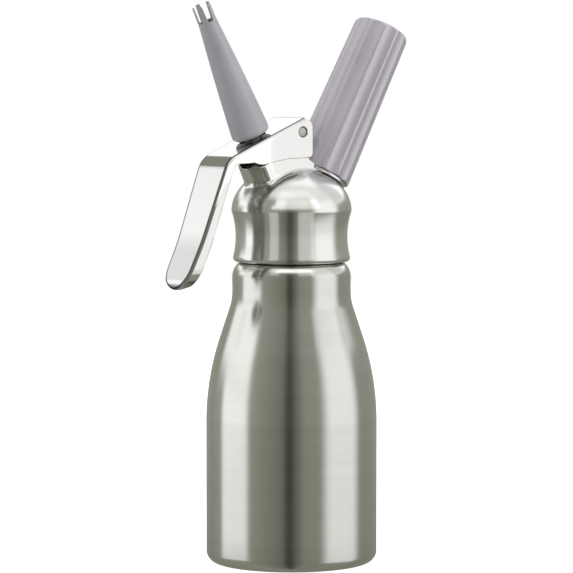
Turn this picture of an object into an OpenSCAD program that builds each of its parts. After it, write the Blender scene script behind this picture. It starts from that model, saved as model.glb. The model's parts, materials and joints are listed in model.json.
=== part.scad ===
// Whipped cream dispenser of half a litre, standing upright on its base.
// +Z is up and the origin is the centre of the flat base. The lever and nozzle face -X,
// the charger holder faces +X. Lengths are millimetres, angles are degrees.
// Distances along the valve axis and the charging axis start where both cross the bottle's axis.

/* [Bottle] */
// Outside radius of the straight wall
body_r = 40; // [36:0.5:46]
// Height at which the straight wall ends
body_h = 66; // [40:1:120]
// Thickness of the pressed wall
bottle_wall = 1.2; // [0.8:0.1:2]
// Radius of the bottom corner
base_corner_r = 5.5; // [3:0.5:9]
// Radius of the long shoulder curve
shoulder_r = 127; // [100:1:160]
// Slope of the shoulder's straight stretch, from the vertical
shoulder_angle = 18.2; // [16:0.2:24]
// Outside radius of the neck just below the head
neck_r = 27.75; // [26.5:0.25:29]
// Radius of the hollow curve below the neck
neck_fillet_r = 25; // [15:1:35]
// Height of the straight neck
neck_h = 6.4; // [3:0.2:12]
// Radius of the lip that turns in above the neck
lip_r = 9; // [8:0.25:9.5]
// Angle through which the lip turns in
lip_angle = 62.5; // [55:0.5:68]

/* [Neck ring and thread] */
// Inside radius of the mouth
mouth_r = 19.5; // [16:0.25:20]
// Radius at the root of the bottle's thread
ring_r = 21.5; // [21:0.1:21.8]
// Height of the ring above the lip
ring_h = 16; // [14:0.5:22]
// How far the ring reaches below the top of the lip
ring_skirt = 2.2; // [1.6:0.1:4]
// Height of the thread's ridge
thread_h = 1; // [0.7:0.1:1.1]
// Rise of the thread in one turn
thread_pitch = 4; // [3.5:0.25:5]
// Turns of thread on the bottle
thread_turns = 2.4; // [1.5:0.1:2.6]
// Width of the ridge at its root
thread_w = 1.7; // [1:0.1:1.8]
// Gap between the two threads, measured outwards
thread_gap = 0.4; // [0.3:0.05:0.6]

/* [Head] */
// Thickness of the seal between bottle and head
head_seal_t = 2.4; // [1.5:0.1:3]
// How far the collar reaches below the bottle's rim
collar_drop = 16.7; // [15.5:0.1:16.9]
// Radius of the collar's waist
waist_r = 26.13; // [25.6:0.1:27]
// Height of the crease under the dome, above the rim
crease_up = 7.2; // [5:0.2:9]
// Radius of the dome at the crease
dome_r = 28.1; // [27.5:0.1:30]
// Height of the dome above the crease
dome_h = 20.6; // [18:0.2:23]
// Rounding of the collar's lower edge
collar_edge_r = 1.9; // [0.5:0.1:2.2]
// Radius of the hollow inside the head
cavity_r = 19; // [15:0.5:19.5]
// Depth of both axes' crossing below the rim
hub_drop = 6; // [5:0.25:8]

/* [Valve] */
// Tilt of the valve and nozzle towards the lever
valve_tilt = 25; // [22:0.5:28]
// Distance to the top of the valve boss
boss_top = 41.2; // [40:0.1:43]
// Radius of the valve boss
boss_r = 10.2; // [9:0.1:10.5]
// Radius of the spring chamber
chamber_r = 7; // [6.6:0.1:7.6]
// Distance to the floor of the spring chamber
chamber_floor = 31; // [30:0.25:32]
// Distance to the valve's seat
seat_at = 23; // [22:0.25:24]
// Radius of the pocket below the seat
pocket_r = 8; // [7.2:0.1:8.4]
// Radius of the stem
stem_r = 4; // [3.5:0.1:4.2]
// Radius of the cream's way through the stem
stem_bore_r = 1.5; // [1:0.1:1.7]
// Distance to the top of the stem
stem_top = 62; // [60:0.5:64]
// Running clearance of the stem in its guide
stem_gap = 0.08; // [0.03:0.01:0.1]
// Radius of the stem's lower flange
flange_r = 6; // [5.5:0.1:6.6]
// Radius of the collar that the lever pushes
push_r = 7.5; // [7:0.1:8.5]
// Radius of the collar's round crown
crown_r = 12; // [10:0.5:16]
// Outside radius of the return spring
spring_r = 6; // [5.6:0.1:6.4]
// Wire diameter of the return spring
spring_wire = 1.2; // [0.9:0.1:1.4]
// Turns of the return spring
spring_turns = 6; // [4:0.5:7]

/* [Lever] */
// Thickness of the lever's sheet
lever_t = 1.5; // [1:0.1:2]
// Distance along the valve axis to the top of the lever's plate
plate_at = 52.3; // [51.8:0.1:53]
// Slope of the plate
plate_slope = 24; // [22:0.5:26]
// Half the width of the lever at its pivot
lever_half_w = 13.4; // [13:0.1:15]
// Half the width of the lever at its bend
bend_half_w = 12.2; // [11.5:0.1:13]
// Half the width of the handle near its tip
tip_half_w = 10.6; // [9:0.1:11.2]
// Outside radius of the bend
bend_r = 12; // [8:0.5:16]
// Length of the plate from the pivot end to the bend's sharp corner
plate_len = 46.8; // [44:0.2:52]
// Slope of the handle from the vertical
handle_slope = 20; // [16:0.5:24]
// Length of the handle's straight stretch
handle_len = 30; // [24:1:60]
// How much the handle kicks out below that
handle_kick = 5; // [2:0.5:10]
// Depth of the flange along the handle
flange_d = 4.2; // [3:0.1:5]
// Depth of the flange near the tip
tip_flange_d = 5.8; // [4.5:0.1:7]
// Radius of the lever's pin
pin_r = 2.3; // [1.5:0.1:2.4]
// Running clearance of the lever on its pin
pin_gap = 0.05; // [0.02:0.01:0.1]
// Depth of the pin below the top of the plate
pin_depth = 5.6; // [5.4:0.1:6.5]
// Distance of the pin from the pivot end of the plate
pin_back = 4.9; // [4.6:0.1:6]

/* [Nozzle] */
// Gap between the lever's plate and the nozzle
nozzle_gap = 1.3; // [1.1:0.1:1.8]
// Radius of the nozzle at its foot
nozzle_r = 9; // [8.4:0.1:9.6]
// Radius of the nozzle at its tip
tip_r = 4.45; // [4:0.05:5]
// Length of the nozzle
nozzle_len = 65.9; // [50:0.5:80]
// Number of prongs
prong_count = 5; // [3:1:6]
// Length of the prongs
prong_len = 8.2; // [4:0.2:11]
// Width of the gaps between the prongs
slit_w = 2.9; // [1.5:0.1:3]
// Wall of the nozzle at its tip
tip_wall = 0.85; // [0.6:0.05:1.2]
// Thickness of the seal inside the nozzle
nozzle_seal_t = 2; // [1:0.1:3]

/* [Charging] */
// Tilt of the charging axis away from the lever
charge_tilt = 28.2; // [27:0.2:30]
// Distance to the face that the holder closes on
seat_top = 33.75; // [33:0.25:35]
// Radius of the spigot's flange
seat_r = 13.3; // [12.6:0.1:14]
// Thickness of the spigot's flange
seat_t = 1.6; // [1:0.1:2.4]
// Radius of the shank that is pressed into the head
shank_r = 8.5; // [8:0.1:9]
// Length of that shank
shank_len = 8.2; // [7:0.2:9]
// Radius at the root of the spigot's thread
stub_r = 9.9; // [9.4:0.1:10.2]
// Length of the threaded stub
stub_len = 10.75; // [9.5:0.25:12]
// Rise of the spigot's thread in one turn
stub_pitch = 1.5; // [1.25:0.25:2]
// Radius of the pin carrier
carrier_r = 6.4; // [6:0.1:6.6]
// Length of the pin carrier
carrier_len = 11.5; // [10:0.25:12]
// Radius of the piercing pin
needle_r = 1; // [0.8:0.1:1.1]
// Radius of the check ball
ball_r = 1.7; // [1.4:0.1:1.9]

/* [Charger] */
// Radius of the gas charger
charger_r = 9; // [8.8:0.05:9.1]
// Length of the gas charger
charger_len = 65.6; // [60:0.2:68]
// Radius of the charger's neck
charger_neck_r = 4.3; // [3.8:0.1:4.6]
// Wall of the gas charger
charger_wall = 1.3; // [1:0.1:1.6]

/* [Holder] */
// Radius of the charger holder at its open end
holder_r = 14.55; // [14.2:0.05:15]
// Radius of the charger holder at its closed end
holder_top_r = 13.2; // [12.8:0.1:14]
// Thickness of the holder's closed end
holder_cap = 4.6; // [3.6:0.2:8]
// Room around the charger in the holder
holder_room = 0.6; // [0.4:0.05:0.8]
// Number of flutes along the holder
flute_count = 12; // [8:1:16]
// Depth of the flutes
flute_d = 0.8; // [0.3:0.1:1]
// Rounding of the holder's closed end
holder_edge_r = 2.2; // [1:0.1:3]
// Outside radius of the threaded insert
insert_r = 12.3; // [12:0.1:12.5]
// Length of the threaded insert
insert_len = 12.75; // [11:0.25:14]

/* [Hidden] */
$fn = 96;
eps = 0.01;
contact_gap = 0.3;          // air left between soft or round parts that only nearly touch

// Bottle profile, from the bottom up
shoulder_end_r = body_r - shoulder_r * (1 - cos(shoulder_angle));
fillet_start_r = neck_r + neck_fillet_r * (1 - cos(shoulder_angle));
neck_z = body_h + (shoulder_r + neck_fillet_r) * sin(shoulder_angle)
    + (shoulder_end_r - fillet_start_r) / tan(shoulder_angle);
lip_z = neck_z + neck_h;
lip_top = lip_z + lip_r * sin(lip_angle);
rim_z = lip_top + ring_h;

// Neck thread
bore_r = ring_r + thread_h + thread_gap;
thread_z = lip_top + 3;

// Head profile
collar_z = rim_z - collar_drop;
waist_z = rim_z - 5;
crease_z = rim_z + crease_up;
waist_bulge = dome_r - waist_r;
waist_curve_r = (pow(crease_z - waist_z, 2) + pow(waist_bulge, 2)) / (2 * waist_bulge);
edge_z = collar_z + collar_edge_r;
edge_r = waist_r + waist_curve_r - sqrt(pow(waist_curve_r, 2) - pow(waist_z - edge_z, 2));
seal_top = rim_z + head_seal_t;
cavity_top = rim_z + 15;
cavity_top_r = 8;
cavity_wall_h = 2.6;        // straight wall of the hollow above the seal
relief_w = 2;               // room for the bottle's lip inside the collar
relief_h = 1.6;
hub_z = rim_z - hub_drop;
saddle_left = -20;
saddle_right = 9;
saddle_foot = crease_z + 8.5;
saddle_corner = 4;

// Valve, as distances along its axis
pocket_h = 12;
stem_foot = seat_at - 4.7;
stem_flange_t = 2.3;
port_at = seat_at + 1.3;    // cross holes that the stem carries past the seat
port_r = 1;
o_ring_at = seat_at + 5;
o_ring_wire_r = 0.72;
collar_foot = boss_top + 4.8;
plate_under = plate_at - lever_t;
slot_r = stem_r + 1.2;
slot_travel = 1.5;
crown_centre = plate_under - 0.35 - sqrt(pow(crown_r, 2) - pow(slot_r, 2));

// Lever, in the plane of its side view
axis_x = -plate_at * sin(valve_tilt);
axis_z = hub_z + plate_at * cos(valve_tilt);
plate_end_x = -0.5;
plate_end_z = axis_z + (plate_end_x - axis_x) * tan(plate_slope);
pin_x = plate_end_x - pin_back * cos(plate_slope) + pin_depth * sin(plate_slope);
pin_z = plate_end_z - pin_back * sin(plate_slope) - pin_depth * cos(plate_slope);
lug_r = pin_depth - lever_t - 0.5;
lug_half_w = lever_half_w - lever_t - 1.3;
lug_run = 2.6;              // from the lug's round top to the flat over the boss
lug_back = 2;               // from the lug's round top to the slope down to the dome
lug_step = 3.8;
plate_down = 180 + plate_slope;             // direction of the plate, from the pivot end
handle_down = 270 - handle_slope;
kick_down = handle_down - handle_kick;
bend_turn = handle_down - plate_down;
bend_back = bend_r * tan(bend_turn / 2);
kick_r = 110;
tip_len = 14.2;             // straight stretch between the kick and the curled tip
tip_curl_r = 9;
tip_curl = 34;
tip_h = 10.5;               // height over which the tip rounds off
cheek_bottom = pin_z - 11.9;
cheek_corner_r = 2.2;
cheek_fillet_r = 3;
pivot_end_r = 3.9;
pin_edge = 5.6;             // from the pin to the upright edge of the pivot end

// Nozzle and charging side, as distances along their axes
nozzle_foot = plate_at + nozzle_gap;
nozzle_edge_r = 1.8;
prong_root = 0.9;           // straight collar that the prongs stand on
nozzle_seal_at = stem_top;
socket_gap = 0.2;
flange_under = seat_top - seat_t;
shank_foot = flange_under - shank_len;
carrier_foot = shank_foot + 3;
carrier_top = carrier_foot + carrier_len;
pin_base_len = 4.2;
pin_base_r = 2.2;
pin_base = carrier_top - pin_base_len;
check_foot = carrier_foot + 1.2;
check_room = 2.6;           // length that the check spring has below the ball
charger_seal_t = 2.3;
charger_foot = carrier_top + charger_seal_t;
needle_top = charger_foot + 1.5;
gas_r = 1.5;
charger_top = charger_foot + charger_len;
holder_top = charger_top + contact_gap + holder_cap;
holder_bore_r = charger_r + holder_room;
insert_foot = seat_top + 0.5;
insert_bore_r = stub_r + 0.6 + 0.25;
spot_r = holder_r + 0.55;

// ---- outlines and places that several parts share ----

// Points of an arc round a centre
function arc(c, r, from, to, n = 10) =
    [for (i = [0:n]) let (a = from + (to - from) * i / n) c + r * [cos(a), sin(a)]];

// A point moved along a direction
function step(p, a, d) = p + d * [cos(a), sin(a)];

// Points offset to the left of a list of [point, direction] stations
function beside(stations, d) = [for (s = stations) step(s[0], s[1] + 90, d)];

function reversed(list) = [for (i = [len(list) - 1:-1:0]) list[i]];

// Stands a shape on the valve axis, at a distance from the hub
module on_valve(at = 0)
    translate([0, 0, hub_z]) rotate([0, -valve_tilt, 0]) translate([0, 0, at]) children();

// Stands a shape on the charging axis, at a distance from the hub
module on_charging(at = 0)
    translate([0, 0, hub_z]) rotate([0, charge_tilt, 0]) translate([0, 0, at]) children();

// Extrudes a side view, drawn as x and z, across the part
module across(half_w)
    rotate([90, 0, 0]) linear_extrude(2 * half_w, center = true) children();

// A round solid from its radius and height points
module turned(points)
    rotate_extrude() polygon(points);

module ring(outer, inner, h)
    difference() {
        cylinder(r = outer, h = h);
        translate([0, 0, -1]) cylinder(r = inner, h = h + 2);
    }

module torus(r, wire_r)
    rotate_extrude() translate([r, 0]) circle(wire_r, $fn = 32);

// One unbroken tube or ridge swept along rings of points, closed at both ends
module sweep(rings) {
    n = len(rings[0]);
    last = len(rings) - 1;
    sides = [for (i = [0:last - 1], j = [0:n - 1]) let (k = (j + 1) % n)
        each [[i * n + j, (i + 1) * n + j, i * n + k], [i * n + k, (i + 1) * n + j, (i + 1) * n + k]]];
    caps = [for (j = [1:n - 2]) each [[0, j, j + 1], [last * n, last * n + j + 1, last * n + j]]];
    polyhedron([for (r = rings) each r], concat(sides, caps));
}

// Rings of a right-hand screw ridge. It rises out of the root surface at both ends.
function ridge_rings(root, h, w, pitch, turns, steps = 24) =
    [for (i = [0:round(turns * steps)])
        let (a = i * 360 / steps, f = min(1, i / 3, (round(turns * steps) - i) / 3),
            z = pitch * a / 360, crest = root + h * (0.02 + 0.98 * f), inner = root - sign(h) * 0.25)
        [for (p = h > 0
            ? [[inner, -w / 2], [inner, w / 2], [crest, w / 5], [crest, -w / 5]]
            : [[inner, w / 2], [inner, -w / 2], [crest, -w / 5], [crest, w / 5]])
            [p[0] * cos(a), p[0] * sin(a), z + p[1]]]];

module screw_ridge(root, h, w, pitch, turns)
    sweep(ridge_rings(root, h, w, pitch, turns));

// ---- bottle ----

// Outline of the bottle's outside moved inwards, from the floor's centre to the lip's end
function bottle_outline(inset) = concat(
    [[0, inset]],
    arc([body_r - base_corner_r, base_corner_r], base_corner_r - inset, -90, 0),
    arc([body_r - shoulder_r, body_h], shoulder_r - inset, 0, shoulder_angle, 14),
    arc([neck_r + neck_fillet_r, neck_z], neck_fillet_r + inset, 180 + shoulder_angle, 180, 8),
    arc([neck_r - lip_r, lip_z], lip_r - inset, 0, lip_angle, 8),
    [[ring_r, lip_z + (lip_r - inset) * sin(lip_angle)]]);

module bottle() {
    color("darkgray") turned(concat(bottle_outline(0), reversed(bottle_outline(bottle_wall))));
}

module neck_ring() {
    color("silver") {
        translate([0, 0, lip_top - ring_skirt]) ring(ring_r, mouth_r, ring_h + ring_skirt);
        translate([0, 0, thread_z])
            screw_ridge(ring_r, thread_h, thread_w, thread_pitch, thread_turns);
    }
}

module head_seal() {
    color("white") translate([0, 0, rim_z]) ring(bore_r - 0.2, cavity_r + 0.3, head_seal_t);
}

// ---- head ----

// Outside of the collar and dome
function head_outline() = concat(
    [[0, collar_z]],
    arc([edge_r - collar_edge_r, edge_z], collar_edge_r, -90, 0, 6),
    [for (i = [0:14]) let (z = edge_z + (crease_z - edge_z) * i / 14)
        [waist_r + waist_curve_r - sqrt(pow(waist_curve_r, 2) - pow(z - waist_z, 2)), z]],
    [for (a = [6:6:90]) [dome_r * cos(a), crease_z + dome_h * sin(a)]]);

// Room inside the collar: relief over the lip, thread bore, seal's seat and hollow
function head_hollow() = [
    [0, collar_z - 1], [bore_r + relief_w, collar_z - 1], [bore_r + relief_w, collar_z],
    [bore_r, collar_z + relief_h], [bore_r, seal_top], [cavity_r, seal_top],
    [cavity_r, seal_top + cavity_wall_h], [cavity_top_r, cavity_top], [0, cavity_top]];

// Saddle and lug that carry the lever, seen from the side
function boss_plane(x) = hub_z + boss_top / cos(valve_tilt) + x * tan(valve_tilt);
function saddle_outline() = let (lug_left = pin_x - lug_r - lug_run, lug_right = pin_x + lug_r + lug_back)
    concat(
        [[saddle_right, saddle_foot], [saddle_left, saddle_foot],
            [saddle_left, boss_plane(saddle_left)], [lug_left, boss_plane(lug_left)]],
        arc([pin_x, pin_z], lug_r, 165, 10, 12),
        [[lug_right, boss_plane(lug_left) - lug_step], [saddle_right, crease_z + dome_h - 0.6]]);

// Saddle seen from above: rounded at the corners towards the lever
function saddle_plan() = concat(
    [[saddle_right, -lug_half_w]], [[saddle_right, lug_half_w]],
    arc([saddle_left + saddle_corner, lug_half_w - saddle_corner], saddle_corner, 90, 180, 6),
    arc([saddle_left + saddle_corner, saddle_corner - lug_half_w], saddle_corner, 180, 270, 6));

module head() {
    color("lightgray") difference() {
        union() {
            turned(head_outline());
            on_valve(seat_at) cylinder(r = boss_r, h = boss_top - seat_at);
            intersection() {
                across(lug_half_w + 1) polygon(saddle_outline());
                translate([0, 0, saddle_foot - 1]) linear_extrude(60) polygon(saddle_plan());
            }
            on_charging(shank_foot) cylinder(r = seat_r - 1.6, h = flange_under - shank_foot);
        }
        turned(head_hollow());
        on_valve(seat_at - pocket_h) cylinder(r = pocket_r, h = pocket_h);
        on_valve(seat_at - 1) cylinder(r = stem_r + stem_gap, h = boss_top);
        on_valve(chamber_floor) cylinder(r = chamber_r, h = boss_top - chamber_floor + 2);
        on_charging(flange_under) cylinder(r = spot_r, h = 40);
        on_charging(shank_foot) cylinder(r = shank_r, h = 20);
        on_charging(shank_foot - 5) cylinder(r = gas_r, h = 10);
        translate([pin_x, 0, pin_z]) rotate([90, 0, 0]) cylinder(r = pin_r, h = 40, center = true);
    }
    color("lightgray") translate([0, 0, thread_z + thread_pitch / 2])
        screw_ridge(bore_r, -thread_h, thread_w, thread_pitch, thread_turns - 0.4);
}

module lever_pin() {
    color("gainsboro") translate([pin_x, 0, pin_z]) rotate([90, 0, 0])
        cylinder(r = pin_r, h = 2 * lever_half_w, center = true);
}

// ---- lever ----

// Stations down the outside of the lever: [point, direction of travel]
plate_start = [plate_end_x, plate_end_z];
plate_corner = step(plate_start, plate_down, plate_len);
bend_start = step(plate_corner, plate_down, -bend_back);
bend_centre = step(bend_start, plate_down + 90, bend_r);
bend_end = step(plate_corner, handle_down, bend_back);
kick_start = step(bend_end, handle_down, handle_len);
kick_centre = step(kick_start, handle_down - 90, kick_r);
kick_end = step(kick_centre, kick_down + 90, kick_r);
curl_start = step(kick_end, kick_down, tip_len);
curl_centre = step(curl_start, kick_down + 90, tip_curl_r);
function lever_stations() = concat(
    [[plate_start, plate_down]],
    [for (i = [0:8]) let (a = plate_down + bend_turn * i / 8)
        [step(bend_centre, a - 90, bend_r), a]],
    [for (i = [0:6]) let (a = handle_down - handle_kick * i / 6)
        [step(kick_centre, a + 90, kick_r), a]],
    [for (i = [0:5]) let (a = kick_down + tip_curl * i / 5)
        [step(curl_centre, a - 90, tip_curl_r), a]]);

// Depth of the flange at each station past the bend
function handle_stations() = [for (s = lever_stations()) if (s[0][1] < bend_end[1] + eps) s];
function flange_line() = [for (s = handle_stations())
    let (f = (bend_end[1] - s[0][1]) / (bend_end[1] - curl_start[1]))
    step(s[0], s[1] + 90, flange_d + (tip_flange_d - flange_d) * min(1, f))];

// Lower edge of the cheeks, from the bend to the pivot end
function cheek_edge() = let (z = cheek_bottom)
    [each arc([bend_end[0] + 7.6, z - 2.4 - cheek_fillet_r], cheek_fillet_r, 160, 90, 5),
        [axis_x - 7, z - 2], [axis_x - 3, z - 3.1], [axis_x + 2, z - 2],
        [pin_x - 7.5, z - 0.4], [pin_x + pin_edge - cheek_corner_r, z]];
function pivot_end() = let (x = pin_x + pin_edge)
    concat(
        arc([x - cheek_corner_r, cheek_bottom + cheek_corner_r], cheek_corner_r, -80, 0, 5),
        arc([x - pivot_end_r, pin_z + 2.1], pivot_end_r, 0, 100, 7));

function lever_side() = concat(
    beside(lever_stations(), 0), reversed(flange_line()), cheek_edge(), pivot_end());
function lever_void() = concat(
    [step(plate_start + lever_t * [sin(plate_slope), -cos(plate_slope)], plate_slope, 12)],
    beside(lever_stations(), lever_t),
    [step(flange_line()[len(flange_line()) - 1], 90, lever_t)],
    [for (p = reversed(flange_line())) p + [10, 0]],
    [[pin_x + 20, cheek_bottom - 12]]);

// Lever seen from above, and its round tip seen from the front, both moved inwards by inset
tip_z = step(curl_centre, kick_down + tip_curl - 90, tip_curl_r)[1];
function lever_plan(inset) = let (a = lever_half_w - inset, b = bend_half_w - inset,
        x = plate_corner[0])
    [[20, a], [plate_end_x, a], [x + 5, b], [x - 40, b - 1.4],
        [x - 40, 1.4 - b], [x + 5, -b], [plate_end_x, -a], [20, -a]];
function lever_front(inset) = concat(
    [[lever_half_w + 1, plate_end_z + 20], [lever_half_w + 1, bend_end[1]],
        [bend_half_w - 0.6 - inset, bend_end[1]]],
    [for (i = [0:10]) let (a = -90 * i / 10)
        [(tip_half_w - inset) * cos(a), tip_z + tip_h + (tip_h - inset) * sin(a)]],
    [for (i = [9:-1:0]) let (a = -90 * i / 10)
        [-(tip_half_w - inset) * cos(a), tip_z + tip_h + (tip_h - inset) * sin(a)]],
    [[inset + 0.6 - bend_half_w, bend_end[1]], [-lever_half_w - 1, bend_end[1]],
        [-lever_half_w - 1, plate_end_z + 20]]);

module lever_shape(inset)
    intersection() {
        across(lever_half_w + 2) children();
        translate([0, 0, tip_z - 5]) linear_extrude(plate_end_z) polygon(lever_plan(inset));
        translate([-90, 0, 0]) rotate([90, 0, 90]) linear_extrude(120) polygon(lever_front(inset));
    }

module lever() {
    color("whitesmoke") difference() {
        lever_shape(0) polygon(lever_side());
        lever_shape(lever_t) polygon(lever_void());
        translate([axis_x, 0, axis_z]) rotate([0, -plate_slope, 0]) {
            for (x = [-slot_travel, slot_travel])
                translate([x, 0, 0]) cylinder(r = slot_r, h = 8, center = true);
            cube([2 * slot_travel, 2 * slot_r, 8], center = true);
        }
        translate([pin_x, 0, pin_z]) rotate([90, 0, 0])
            cylinder(r = pin_r + pin_gap, h = 60, center = true);
    }
}

// ---- valve ----

module valve_stem() {
    color("silver") on_valve() difference() {
        union() {
            translate([0, 0, stem_foot]) cylinder(r = flange_r, h = stem_flange_t);
            translate([0, 0, stem_foot]) cylinder(r = stem_r, h = stem_top - stem_foot);
        }
        translate([0, 0, port_at]) cylinder(r = stem_bore_r, h = stem_top);
        translate([0, 0, port_at]) rotate([90, 0, 0])
            cylinder(r = port_r, h = 4 * stem_r, center = true);
        translate([0, 0, o_ring_at - o_ring_wire_r - 0.1])
            ring(stem_r + 1, stem_r - 2 * o_ring_wire_r, 2 * o_ring_wire_r + 0.2);
    }
}

module valve_seal() {
    color("white") on_valve(stem_foot + stem_flange_t)
        ring(flange_r + 0.5, stem_r, seat_at - stem_foot - stem_flange_t);
}

module stem_o_ring() {
    color("dimgray") on_valve(o_ring_at) torus(stem_r - o_ring_wire_r, o_ring_wire_r);
}

module stem_collar() {
    color("silver") on_valve() difference() {
        intersection() {
            translate([0, 0, collar_foot]) cylinder(r = push_r, h = 10);
            translate([0, 0, crown_centre]) sphere(crown_r);
        }
        translate([0, 0, collar_foot - 1]) cylinder(r = stem_r, h = 20);
    }
}

// Centre points of a coil with closed, level ends
function coil_points(r, h, turns, steps = 8) = [for (i = [0:round(turns * steps)])
    let (u = i / (turns * steps), a = i * 360 / steps) [r * cos(a), r * sin(a), h * u]];
function coil_rings(r, h, turns, wire_r, sides = 6, steps = 8) =
    [for (i = [0:round(turns * steps)])
        let (a = i * 360 / steps, z = h * i / (turns * steps))
        [for (j = [0:sides - 1]) let (b = -j * 360 / sides)
            [(r + wire_r * cos(b)) * cos(a), (r + wire_r * cos(b)) * sin(a), z + wire_r * sin(b)]]];

// Least air between neighbouring turns of a coil
function coil_gap(r, h, turns, wire_r) = let (p = coil_points(r, h, turns), n = len(p))
    min([for (i = [0:n - 1], j = [i + 6:1:n - 1]) norm(p[i] - p[j])]) - 2 * wire_r;

spring_h = collar_foot - chamber_floor - spring_wire;
check_spring_wire = 0.4;
check_spring_r = 1.4;
check_spring_turns = 2.5;
check_spring_h = check_room - check_spring_wire;
echo("least gap in the return spring", coil_gap(spring_r - spring_wire / 2, spring_h, spring_turns,
    spring_wire / 2));
echo("least gap in the check spring", coil_gap(check_spring_r, check_spring_h, check_spring_turns,
    check_spring_wire / 2));

module valve_spring() {
    color("gray") on_valve(chamber_floor + spring_wire / 2)
        sweep(coil_rings(spring_r - spring_wire / 2, spring_h, spring_turns, spring_wire / 2));
}

// ---- nozzle ----

module nozzle_seal() {
    color("dimgray") on_valve(nozzle_seal_at) ring(stem_r + socket_gap, stem_bore_r + 0.7, nozzle_seal_t);
}

function nozzle_outline() = concat(
    [[0, 0]], arc([nozzle_r - nozzle_edge_r, nozzle_edge_r], nozzle_edge_r, -90, 0, 5),
    [for (i = [1:6]) let (u = i / 6) [nozzle_r + (tip_r - nozzle_r) * u + 0.25 * sin(180 * u),
        nozzle_edge_r + (nozzle_len - prong_len - prong_root - nozzle_edge_r) * u]],
    [[tip_r, nozzle_len], [0, nozzle_len]]);

module nozzle() {
    socket_top = stem_top + nozzle_seal_t - nozzle_foot;
    color("lightslategray") on_valve(nozzle_foot) difference() {
        turned(nozzle_outline());
        translate([0, 0, -1]) cylinder(r = stem_r + socket_gap, h = socket_top + 1);
        translate([0, 0, socket_top - 1]) cylinder(r = tip_r - tip_wall, h = nozzle_len);
        for (i = [0:prong_count - 1]) rotate([0, 0, (i + 0.5) * 360 / prong_count])
            translate([0, -slit_w / 2, nozzle_len - prong_len]) cube([20, slit_w, 20]);
    }
}

// ---- charging side, fixed in the head ----

module charger_spigot() {
    color("silver") on_charging() {
        difference() {
            union() {
                translate([0, 0, shank_foot]) cylinder(r = shank_r, h = shank_len + eps);
                translate([0, 0, flange_under]) cylinder(r = seat_r, h = seat_t);
                translate([0, 0, seat_top - eps]) cylinder(r = stub_r, h = stub_len + eps);
            }
            translate([0, 0, carrier_foot]) cylinder(r = carrier_r + 0.1, h = 40);
            translate([0, 0, shank_foot - 1]) cylinder(r = gas_r, h = 10);
        }
        translate([0, 0, seat_top + 2])
            screw_ridge(stub_r, 0.6, 0.9, stub_pitch, floor((stub_len - 3.5) / stub_pitch));
    }
}

module pin_carrier() {
    color("goldenrod") on_charging() difference() {
        translate([0, 0, carrier_foot]) cylinder(r = carrier_r, h = carrier_len);
        translate([0, 0, carrier_foot - 1]) cylinder(r = gas_r - 0.3, h = 3);
        translate([0, 0, check_foot]) cylinder(r = ball_r + 0.3, h = pin_base - check_foot);
        translate([0, 0, pin_base]) cylinder(r = pin_base_r, h = pin_base_len + 1);
        translate([0, 0, check_foot]) cylinder(r = 0.6, h = carrier_len);
        translate([0, 0, carrier_foot + 4 - o_ring_wire_r - 0.1])
            ring(carrier_r + 1, carrier_r + 0.05 - 2 * o_ring_wire_r, 2 * o_ring_wire_r + 0.2);
    }
}

module carrier_o_ring() {
    color("dimgray") on_charging(carrier_foot + 4)
        torus(carrier_r + 0.05 - o_ring_wire_r, o_ring_wire_r);
}

module check_spring() {
    color("gray") on_charging(check_foot + check_spring_wire / 2)
        sweep(coil_rings(check_spring_r, check_spring_h, check_spring_turns, check_spring_wire / 2));
}

module check_ball() {
    color("silver") on_charging(check_foot + check_room + ball_r) sphere(ball_r, $fn = 48);
}

// Hollow pin: a base ring that is pressed into the carrier and a needle with a slanted point
module piercing_pin() {
    color("silver") on_charging() difference() {
        union() {
            translate([0, 0, pin_base]) cylinder(r = pin_base_r, h = pin_base_len);
            cylinder(r = needle_r, h = needle_top);
        }
        cylinder(r = 0.4, h = needle_top + 1);
        cylinder(r = needle_r + 1, h = pin_base);
        translate([0, 0, needle_top]) rotate([0, 40, 0]) translate([0, 0, 1.4])
            cube([8, 8, 2], center = true);
    }
}

module charger_seal() {
    color("white") on_charging(carrier_top) ring(carrier_r - 0.2, needle_r + 0.6, charger_seal_t);
}

// ---- gas charger ----

// Outline moved inwards by the wall, from the neck to the round end
charger_neck_len = 7;
charger_shoulder = 8;
function charger_outline(inset) = let (n = charger_neck_r - inset, r = charger_r - inset)
    concat([[n, 0], [n, charger_neck_len]],
        [for (i = [1:7]) let (u = i / 8)
            [n + (r - n) * (1 - cos(180 * u)) / 2, charger_neck_len + charger_shoulder * u]],
        [[r, charger_neck_len + charger_shoulder]],
        arc([0, charger_len - charger_r], r, 0, 90, 12));

module charger() {
    color("lightsteelblue") on_charging(charger_foot)
        turned(concat(charger_outline(0), reversed(charger_outline(charger_wall))));
}

module charger_cap() {
    color("silver") on_charging(charger_foot + 0.3)
        ring(charger_neck_r - charger_wall, needle_r + 0.25, 0.5);
}

// ---- holder ----

module holder_insert() {
    color("silver") on_charging(insert_foot) ring(insert_r, insert_bore_r, insert_len);
}

module charger_holder() {
    holder_len = holder_top - seat_top;
    flute_r = 9;
    lean = atan((holder_r - holder_top_r) / holder_len);
    color("thistle") on_charging(seat_top) difference() {
        turned(concat([[0, 0]], [[holder_r, 0]],
            arc([holder_top_r - holder_edge_r, holder_len - holder_edge_r], holder_edge_r, 0, 78, 6),
            [[0, holder_len]]));
        for (i = [0:flute_count - 1]) rotate([0, 0, (i + 0.5) * 360 / flute_count])
            translate([holder_r + flute_r - flute_d, 0, 0]) rotate([0, -lean, 0])
                translate([0, 0, -5]) cylinder(r = flute_r, h = holder_len + 20);
        translate([0, 0, -1]) cylinder(r = insert_r, h = insert_foot + insert_len - seat_top + 1);
        cylinder(r = holder_bore_r, h = charger_top + contact_gap - seat_top);
    }
}

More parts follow.
